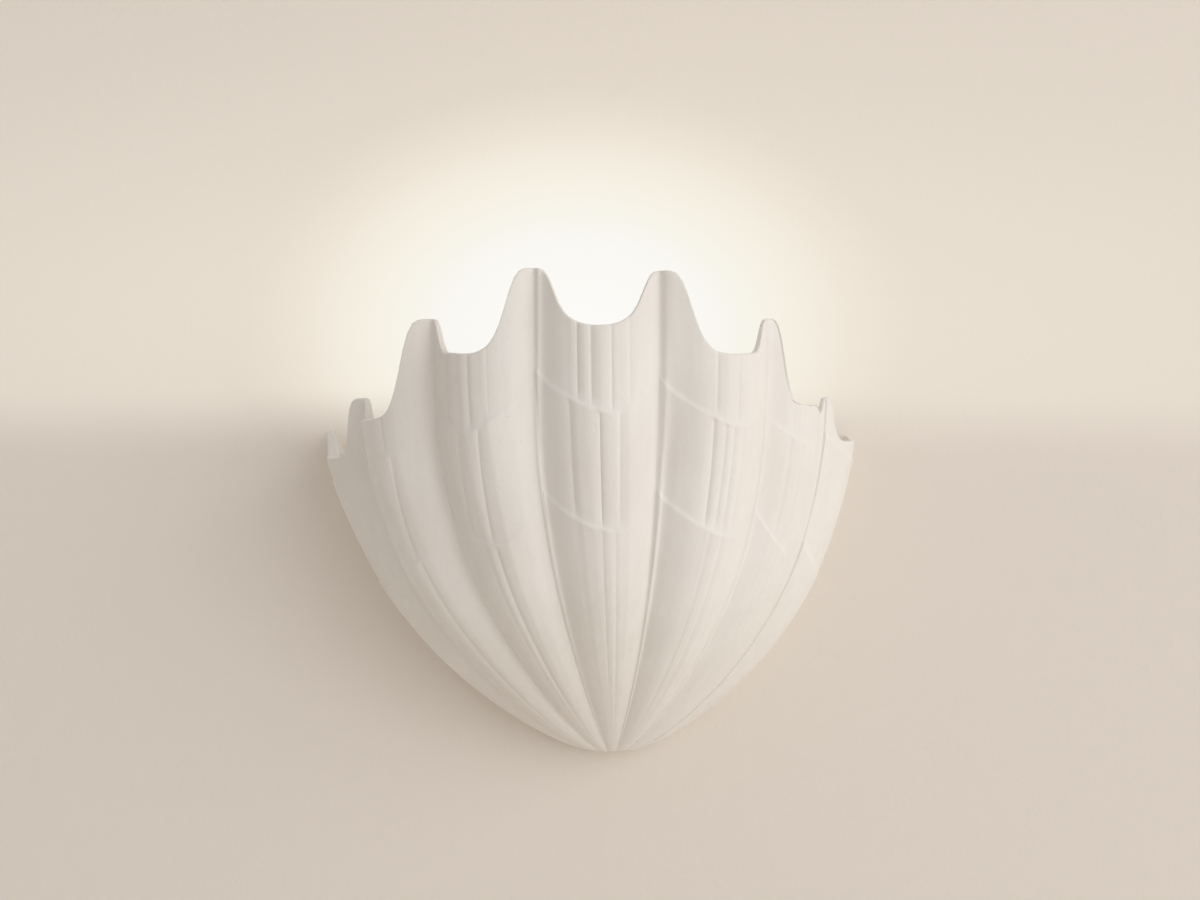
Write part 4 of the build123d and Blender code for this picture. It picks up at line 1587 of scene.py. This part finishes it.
@dataclass
class Wiring:
    """The three inner leads from the terminal block, and the cable's grommet."""

    radius: float = 1.1
    routes: dict[str, tuple[Point, ...]] = field(
        default_factory=lambda: {
            "live_lead": (
                (-10, -15.5, -42),
                (-10, -15.5, -28),
                (-20, -24, -10),
                (-34, -38, 3),
                (-54, -49, 7),
                (-68, -55, 6.5),
                (-76.05, -60, 9.5),
                (-76.05, -60, 25.5),
            ),
            "neutral_lead": (
                (0, -15.5, -42),
                (0, -15.5, -28),
                (15, -24, -17),
                (26, -35, -3),
                (50, -48, 6),
                (68, -55, 6.5),
                (76.05, -60, 9.5),
                (76.05, -60, 25.5),
            ),
            "earth_lead": (
                (10, -15.5, -42),
                (10, -15.5, -28),
                (22, -11.7, -28),
                (22, -11.7, -53.5),
            ),
        }
    )
    grommet_z: float = -66.0
    grommet_depth: float = 9.25
    grommet_half: tuple[tuple[float, float], ...] = (
        (4.0, -1.1),
        (4.5, -2.35),
        (6.0, -2.35),
        (7.4, -2.2),
        (8.0, -1.5),
        (8.0, -0.75),
        (6.5, -0.75),
    )

    def lead(self, node: str, finish: Finish) -> bpy.types.Object:
        """Return one lead as a round sleeve on a smooth line through its route.

        Args:
            node: Its CAD node.
            finish: Its finish.

        Returns:
            The sleeve.
        """
        curve = bpy.data.curves.new(node, "CURVE")
        curve.dimensions = "3D"
        curve.bevel_depth = self.radius * MM
        curve.bevel_resolution = 4
        curve.use_fill_caps = True
        spline = curve.splines.new("NURBS")
        points = self.routes[node]
        spline.points.add(len(points) - 1)
        for point, place in zip(spline.points, points):
            point.co = (*(value * MM for value in place), 1.0)
        spline.order_u = 3
        spline.use_endpoint_u = True
        spline.resolution_u = 10
        rail = bpy.data.objects.new(f"{node}_rail", curve)
        bpy.context.scene.collection.objects.link(rail)
        bpy.context.view_layer.update()
        graph = bpy.context.evaluated_depsgraph_get()
        mesh = bpy.data.meshes.new_from_object(rail.evaluated_get(graph))
        bpy.data.objects.remove(rail)
        mesh.name = f"{node}_sleeve"
        if mesh.uv_layers:
            mesh.uv_layers[0].name = "sleeve"
        mesh.shade_smooth()
        mesh.set_sharp_from_angle(angle=radians(50))
        piece = link_mesh(f"{node}_sleeve", mesh, finish)
        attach(piece, Body.WALL.value)
        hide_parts(node)
        LOG.info("%s: round sleeve of %d faces", piece.name, len(mesh.polygons))
        return piece

    def grommet(self) -> bpy.types.Object:
        """Make the rubber grommet, with rolled lips and its waist in the plate.

        Returns:
            The grommet.
        """
        half = list(self.grommet_half)
        whole = half + [(radius, -height) for radius, height in reversed(half)]
        axis = Matrix.Translation((0, -self.grommet_depth, self.grommet_z)) @ QUARTER_TURN
        return release(
            turned(whole, axis, 48),
            "cable_grommet_moulding",
            Body.WALL,
            Finish.RUBBER,
            ["cable_grommet"],
            50,
        )

    def build(self) -> None:
        """Make the leads and the grommet."""
        self.lead("live_lead", Finish.BROWN_SLEEVE)
        self.lead("neutral_lead", Finish.BLUE_SLEEVE)
        self.lead("earth_lead", Finish.EARTH_SLEEVE)
        self.grommet()


@dataclass
class LampParts:
    """The wound filament in the tube, and the spring behind one contact."""

    axis_depth: float = 60.0
    axis_height: float = 38.0
    filament_reach: float = 36.0
    filament_radius: float = 0.58
    filament_wire: float = 0.12
    filament_turns: int = 84
    support_places: tuple[float, ...] = (0.25, 0.5, 0.75)
    support_radius: float = 4.1
    support_wire: float = 0.14
    support_shift: float = 0.9
    support_length: float = 0.3
    hub_radius: float = 0.85
    hub_turns: int = 3
    hub_length: float = 1.6
    spoke_start: float = 0.8
    spoke_wire: float = 0.12
    spring_start: float = 64.2
    spring_end: float = 71.95
    spring_radius: float = 2.75
    spring_wire: float = 0.35
    spring_turns: int = 5
    push: float = 3.5

    def filament(self) -> bpy.types.Object:
        """Make the wound wire and its supports.

        Returns:
            The filament.
        """
        shape = bmesh.new()
        start = Vector((-self.filament_reach, -self.axis_depth, self.axis_height))
        length = 2 * self.filament_reach
        turns, wire = self.filament_turns, self.support_wire
        coil(shape, start, self.filament_radius, self.filament_wire, turns, length, 8, 5)
        out = (self.support_radius + self.spoke_start) / 2
        for share in self.support_places:
            middle = start + Vector((length * share - self.support_shift, 0, 0))
            coil(shape, middle, self.hub_radius, wire, self.hub_turns, self.hub_length, 12, 6)
            coil(shape, middle, self.support_radius, wire, 1, self.support_length, 24, 6)
            for turn in (0, 120, 240):
                place = Matrix.Translation(middle) @ Matrix.Rotation(radians(turn), 4, "X")
                place = place @ Matrix.Translation((0, 0, out))
                rod(shape, self.spoke_wire, self.support_radius - self.spoke_start, 6, place)
        return release(
            shape,
            "filament_coil",
            Body.LAMP,
            Finish.FILAMENT,
            ["filament"],
            60,
        )

    def spring(self) -> bpy.types.Object:
        """Make the contact's spring, wound at one length; on the real lamp it shortens as the lamp
        is pushed in.

        Returns:
            The spring.
        """
        shape = bmesh.new()
        start = Vector((self.spring_start + self.spring_wire, -self.axis_depth, self.axis_height))
        length = self.spring_end - self.spring_start - 2 * self.spring_wire
        coil(shape, start, self.spring_radius, self.spring_wire, self.spring_turns, length, 20, 8)
        piece = release(
            shape,
            "contact_spring_coil",
            Body.WALL,
            Finish.SPRING_WIRE,
            ["contact_spring"],
            60,
        )
        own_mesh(piece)
        return piece

    def build(self) -> None:
        """Make the filament and the spring."""
        self.filament()
        self.spring()


@dataclass(frozen=True)
class ScrewSize:
    """A slotted screw seen from its head."""

    head_radius: float
    head_height: float
    shank_radius: float
    shank_length: float
    slot_width: float
    slot_floor: float = 0.45  # as a share of the head's height
    slot_turn: float = 20.0
    crown_round: float = 0.12  # as a share of the head's radius
    head_sides: int = 28
    shank_sides: int = 16


@dataclass
class Fixings:
    """Slotted screws of the terminal block, and the felt pads on the shell's rear edge."""

    block_z: float = -42.0
    block_face: float = -21.0
    barrel_rise: float = 3.25
    pole_pitch: float = 10.0
    pad_round: float = 0.3
    pad_parting: float = -40.0  # height between the lower and the upper pads
    barrel_screw: ScrewSize = ScrewSize(1.3, 1.0, 1.3, 5.0, 0.5)
    block_screw: ScrewSize = ScrewSize(2.3, 1.8, 1.45, 13.5, 0.7)
    right_pad_shift: float = -4.8

    def slotted(self, shape: bmesh.types.BMesh, size: ScrewSize, face: Point) -> None:
        """Add a screw whose head's foot is at a point, facing the room.

        Args:
            shape: Where the screw goes.
            size: The screw's sizes.
            face: Middle of the head's seat.
        """
        before = set(shape.verts)
        floor = size.head_height * size.slot_floor
        shank = Matrix.Translation((0, 0, -size.shank_length / 2))
        rod(shape, size.shank_radius, size.shank_length, size.shank_sides, shank)
        rod(shape, size.head_radius, floor, size.head_sides, Matrix.Translation((0, 0, floor / 2)))
        for side in (-1, 1):
            self._half_head(shape, size, side, floor)
        added = [v for v in shape.verts if v not in before]
        turn = Matrix.Rotation(radians(size.slot_turn), 4, "Z")
        place = Matrix.Translation(face) @ QUARTER_TURN @ turn
        bmesh.ops.transform(shape, matrix=place, verts=added)

    @staticmethod
    def _half_head(shape: bmesh.types.BMesh, size: ScrewSize, side: int, floor: float) -> None:
        """Add the raised half of a head on one side of its slot.

        Args:
            shape: Where the screw goes.
            size: The screw's sizes.
            side: -1 or 1, the side of the slot.
            floor: Height of the slot's floor.
        """
        disc = bmesh.ops.create_circle(
            shape,
            cap_ends=True,
            segments=size.head_sides,
            radius=size.head_radius,
            matrix=Matrix.Translation((0, 0, floor)),
        )["verts"]
        kept = bmesh.ops.bisect_plane(
            shape,
            geom=disc + edges_of(disc) + faces_of(disc),
            plane_co=(side * size.slot_width / 2, 0, 0),
            plane_no=(-side, 0, 0),
            clear_outer=True,
        )["geom"]
        faces = [g for g in kept if isinstance(g, bmesh.types.BMFace) and g.is_valid]
        rim = list({e for f in faces for e in f.edges})
        raised = bmesh.ops.extrude_face_region(shape, geom=faces, use_keep_orig=True)["geom"]
        top = [g for g in raised if isinstance(g, bmesh.types.BMVert)]
        bmesh.ops.translate(shape, vec=(0, 0, size.head_height - floor), verts=top)
        edges = [g for g in raised if isinstance(g, bmesh.types.BMEdge)]
        round_over(shape, [e for e in edges if e.is_valid], size.head_radius * size.crown_round)
        around = faces_of([e for e in (*rim, *edges) if e.is_valid])
        bmesh.ops.recalc_face_normals(shape, faces=around)

    def terminal_screws(self) -> bpy.types.Object:
        """Make the three screws that hold the leads.

        Returns:
            The screws.
        """
        shape = bmesh.new()
        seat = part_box("terminal_screws")[0].y / MM + self.barrel_screw.head_height
        for pole in (-1, 0, 1):
            face = (pole * self.pole_pitch, seat, self.block_z + self.barrel_rise)
            self.slotted(shape, self.barrel_screw, face)
        return release(
            shape,
            "terminal_screws_slotted",
            Body.WALL,
            Finish.ZINC_FIXING,
            ["terminal_screws"],
        )

    def block_screws(self) -> bpy.types.Object:
        """Make the two screws that hold the terminal block.

        Returns:
            The screws.
        """
        shape = bmesh.new()
        for side in (-1, 1):
            face = (side * self.pole_pitch / 2, self.block_face, self.block_z)
            self.slotted(shape, self.block_screw, face)
        return release(
            shape,
            "block_screws_slotted",
            Body.WALL,
            Finish.ZINC_FIXING,
            ["block_screws"],
        )

    def pads(self) -> bpy.types.Object:
        """Make the felt pads, their cut edges slightly rounded.

        Returns:
            The pads.
        """
        shape = bmesh.new()
        for low, high in self._pad_boxes():
            pad = block(shape, high - low, (low + high) / 2)
            round_over(shape, edges_of(pad), self.pad_round)
        return release(shape, "felt_wall_pads", Body.SHELL, Finish.FELT, ["wall_pads"])

    def _pad_boxes(self) -> list[tuple[Vector, Vector]]:
        """Return each pad's box from its node, the upper right one drawn in under the shell.

        Returns:
            The lowest and the highest corner of each box.
        """
        points = np.array([v.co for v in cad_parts["wall_pads"].data.vertices]) / MM
        at_right, above = points[:, 0] > 0, points[:, 2] > self.pad_parting
        boxes = []
        for right in (False, True):
            for upper in (False, True):
                group = points[(at_right == right) & (above == upper)]
                shift = Vector((self.right_pad_shift if right and upper else 0, 0, 0))
                boxes.append((Vector(group.min(0)) + shift, Vector(group.max(0)) + shift))
        return boxes

    def build(self) -> None:
        """Make the screws and the pads."""
        self.terminal_screws()
        self.block_screws()
        self.pads()


# ---------------------------------------------------------------- carried-over pieces


@dataclass
class Hardware:
    """CAD pieces whose shape stays, each dressed in its finish."""

    dress: dict[str, Finish] = field(
        default_factory=lambda: {
            "hanger_inserts": Finish.BRASS,
            "hanger_plates": Finish.ZINC_SHEET,
            "hanger_screws": Finish.ZINC_FIXING,
            "wall_plate": Finish.POWDER,
            "hook_studs": Finish.ZINC_FIXING,
            "lamp_bracket": Finish.ZINC_SHEET,
            "bracket_studs": Finish.ZINC_FIXING,
            "bracket_nuts": Finish.ZINC_FIXING,
            "reflector": Finish.BRIGHT_ALUMINIUM,
            "reflector_rivets": Finish.DULL_ALUMINIUM,
            "lampholder_left": Finish.CERAMIC,
            "lampholder_right": Finish.CERAMIC,
            "holder_screws": Finish.ZINC_FIXING,
            "fixed_contact": Finish.NICKEL,
            "sprung_contact": Finish.NICKEL,
            "contact_terminals": Finish.BRASS,
            "lamp_tube": Finish.QUARTZ,
            "lamp_bases": Finish.CERAMIC,
            "lamp_pins": Finish.NICKEL,
            "terminal_block": Finish.NYLON,
            "terminal_barrels": Finish.BRASS,
            "earth_stud": Finish.ZINC_FIXING,
            "earth_tag": Finish.BRASS,
            "earth_nut": Finish.ZINC_FIXING,
        }
    )

    def build(self) -> None:
        """Give every carried-over node its finish."""
        for name, finish in self.dress.items():
            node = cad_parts[name]
            if not node.material_slots:
                node.data.materials.append(finish.material())
            for holder in node.material_slots:
                holder.material = finish.material()
            LOG.info("%s: dressed as %s", name, finish.value.name)


# ---------------------------------------------------------------- room, light and camera


@dataclass
class Room:
    """The wall and floor that the sconce is shown against."""

    wall_width: float = 7.0
    wall_height: float = 4.0
    floor_z: float = -1.3
    wall_back: float = 0.0004

    def panel(self, name: str, finish: Finish, place: Matrix) -> bpy.types.Object:
        """Return a flat stage panel.

        Args:
            name: The panel's name.
            finish: Its finish.
            place: Its placement and size.

        Returns:
            The panel.
        """
        shape = bmesh.new()
        bmesh.ops.create_grid(shape, x_segments=1, y_segments=1, size=1.0, matrix=place)
        mesh = bpy.data.meshes.new(name)
        shape.to_mesh(mesh)
        shape.free()
        panel = link_mesh(name, mesh, finish)
        return panel

    def build(self) -> None:
        """Set up the wall just behind the sconce, and the floor."""
        middle = self.floor_z + self.wall_height / 2
        upright = Matrix.Translation((0, self.wall_back, middle)) @ QUARTER_TURN
        size = Matrix.Diagonal((self.wall_width / 2, self.wall_height / 2, 1, 1))
        wall = self.panel("room_wall", Finish.WALL, upright @ size)
        wall.visible_shadow = False
        size = Matrix.Diagonal((self.wall_width, self.wall_width, 1, 1))
        self.panel("room_floor", Finish.FLOOR, Matrix.Translation((0, 0, self.floor_z)) @ size)


@dataclass
class Lighting:
    """Soft studio light: one broad key from the right, an even fill, and a little from behind."""

    key_from: Point = (3.7, -3.1, 1.15)
    key_size: float = 4.4
    key_level: float = 0.485
    key_colour: Colour = (1.0, 0.997, 0.992)
    rear_from: Point = (-0.7, 2.2, 0.9)
    rear_size: float = 1.6
    rear_level: float = 0.30
    rear_colour: Colour = (1.0, 0.99, 0.98)
    fill: float = 0.55
    fill_colour: Colour = (1.0, 0.972, 0.948)
    backdrop: Colour = paint(226, 220, 211)
    lamp_colour: Colour = (1.0, 0.93, 0.82)
    lamp_from: Point = (0.0, -0.060, 0.0455)
    lamp_length: float = 0.074
    lamp_width: float = 0.009
    lamp_energy: float = 0.065

    def panel(self, name: str, place: Point, size: float, level: float, colour: Colour) -> None:
        """Add a square lamp that lights the sconce to a given level, facing it.

        Args:
            name: The lamp's name.
            place: Where it stands.
            size: Its side.
            level: Share of a surface's own colour that it brings out, face on.
            colour: Its tint.
        """
        lamp = bpy.data.lights.new(name, "AREA")
        lamp.size = size
        lamp.color = colour
        lamp.energy = level * pi**2 * Vector(place).length_squared
        holder = bpy.data.objects.new(name, lamp)
        holder.location = place
        holder.rotation_mode = "QUATERNION"
        holder.rotation_quaternion = (-Vector(place)).to_track_quat("-Z", "Y")
        holder.visible_camera = False
        bpy.context.scene.collection.objects.link(holder)

    def lamp(self) -> None:
        """Add the light of the sconce's own lamp, faint enough to keep the plaster's colour."""
        strip = bpy.data.lights.new("sconce_lamp", "AREA")
        strip.shape = "RECTANGLE"
        strip.size = self.lamp_length
        strip.size_y = self.lamp_width
        strip.color = self.lamp_colour
        strip.energy = self.lamp_energy
        holder = bpy.data.objects.new("sconce_lamp", strip)
        holder.location = self.lamp_from
        holder.rotation_euler = (pi, 0, 0)
        holder.visible_camera = False
        bpy.context.scene.collection.objects.link(holder)

    def build(self) -> None:
        """Set the lamps and the world."""
        self.panel("key", self.key_from, self.key_size, self.key_level, self.key_colour)
        self.panel("rear", self.rear_from, self.rear_size, self.rear_level, self.rear_colour)
        self.lamp()
        world = bpy.data.worlds.new("soft_room")
        bpy.context.scene.world = world
        world.use_nodes = True
        tree = world.node_tree
        tree.nodes.clear()
        path = tree.nodes.new("ShaderNodeLightPath")
        even = tree.nodes.new("ShaderNodeBackground")
        even.inputs["Color"].default_value = (*self.fill_colour, 1.0)
        even.inputs["Strength"].default_value = self.fill
        seen = tree.nodes.new("ShaderNodeBackground")
        seen.inputs["Color"].default_value = (*self.backdrop, 1.0)
        seen.inputs["Strength"].default_value = 1.0
        mix = tree.nodes.new("ShaderNodeMixShader")
        out = tree.nodes.new("ShaderNodeOutputWorld")
        tree.links.new(path.outputs["Is Camera Ray"], mix.inputs[0])
        tree.links.new(even.outputs[0], mix.inputs[1])
        tree.links.new(seen.outputs[0], mix.inputs[2])
        tree.links.new(mix.outputs[0], out.inputs["Surface"])


@dataclass
class Viewpoint:
    """The photograph's camera: level, straight on, a little left of the middle."""

    stand: Point = (-0.019, -1.3, 0.0288)
    aim: Point = (0.00315, 0.0, 0.0288)
    view_width: float = 0.72
    sensor: float = 36.0

    def build(self) -> None:
        """Set up the camera and the picture's plain colour handling."""
        data = bpy.data.cameras.new("camera")
        data.sensor_width = self.sensor
        way = Vector(self.aim) - Vector(self.stand)
        data.lens = self.sensor * way.length / self.view_width
        data.clip_start = 0.01
        data.clip_end = 50
        camera = bpy.data.objects.new("camera", data)
        camera.location = self.stand
        camera.rotation_mode = "QUATERNION"
        camera.rotation_quaternion = way.to_track_quat("-Z", "Y")
        bpy.context.scene.collection.objects.link(camera)
        bpy.context.scene.camera = camera
        bpy.context.scene.view_settings.view_transform = "Standard"


def main() -> None:
    """Build the sconce's looks in order."""
    logging.basicConfig(level=logging.INFO, format="%(name)s: %(message)s")
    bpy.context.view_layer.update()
    groups = (
        Viewpoint(),
        Room(),
        Lighting(),
        ShellCasting(),
        Wiring(),
        LampParts(),
        Fixings(),
        Hardware(),
    )
    for group in groups:
        group.build()


if __name__ == "__main__":
    main()
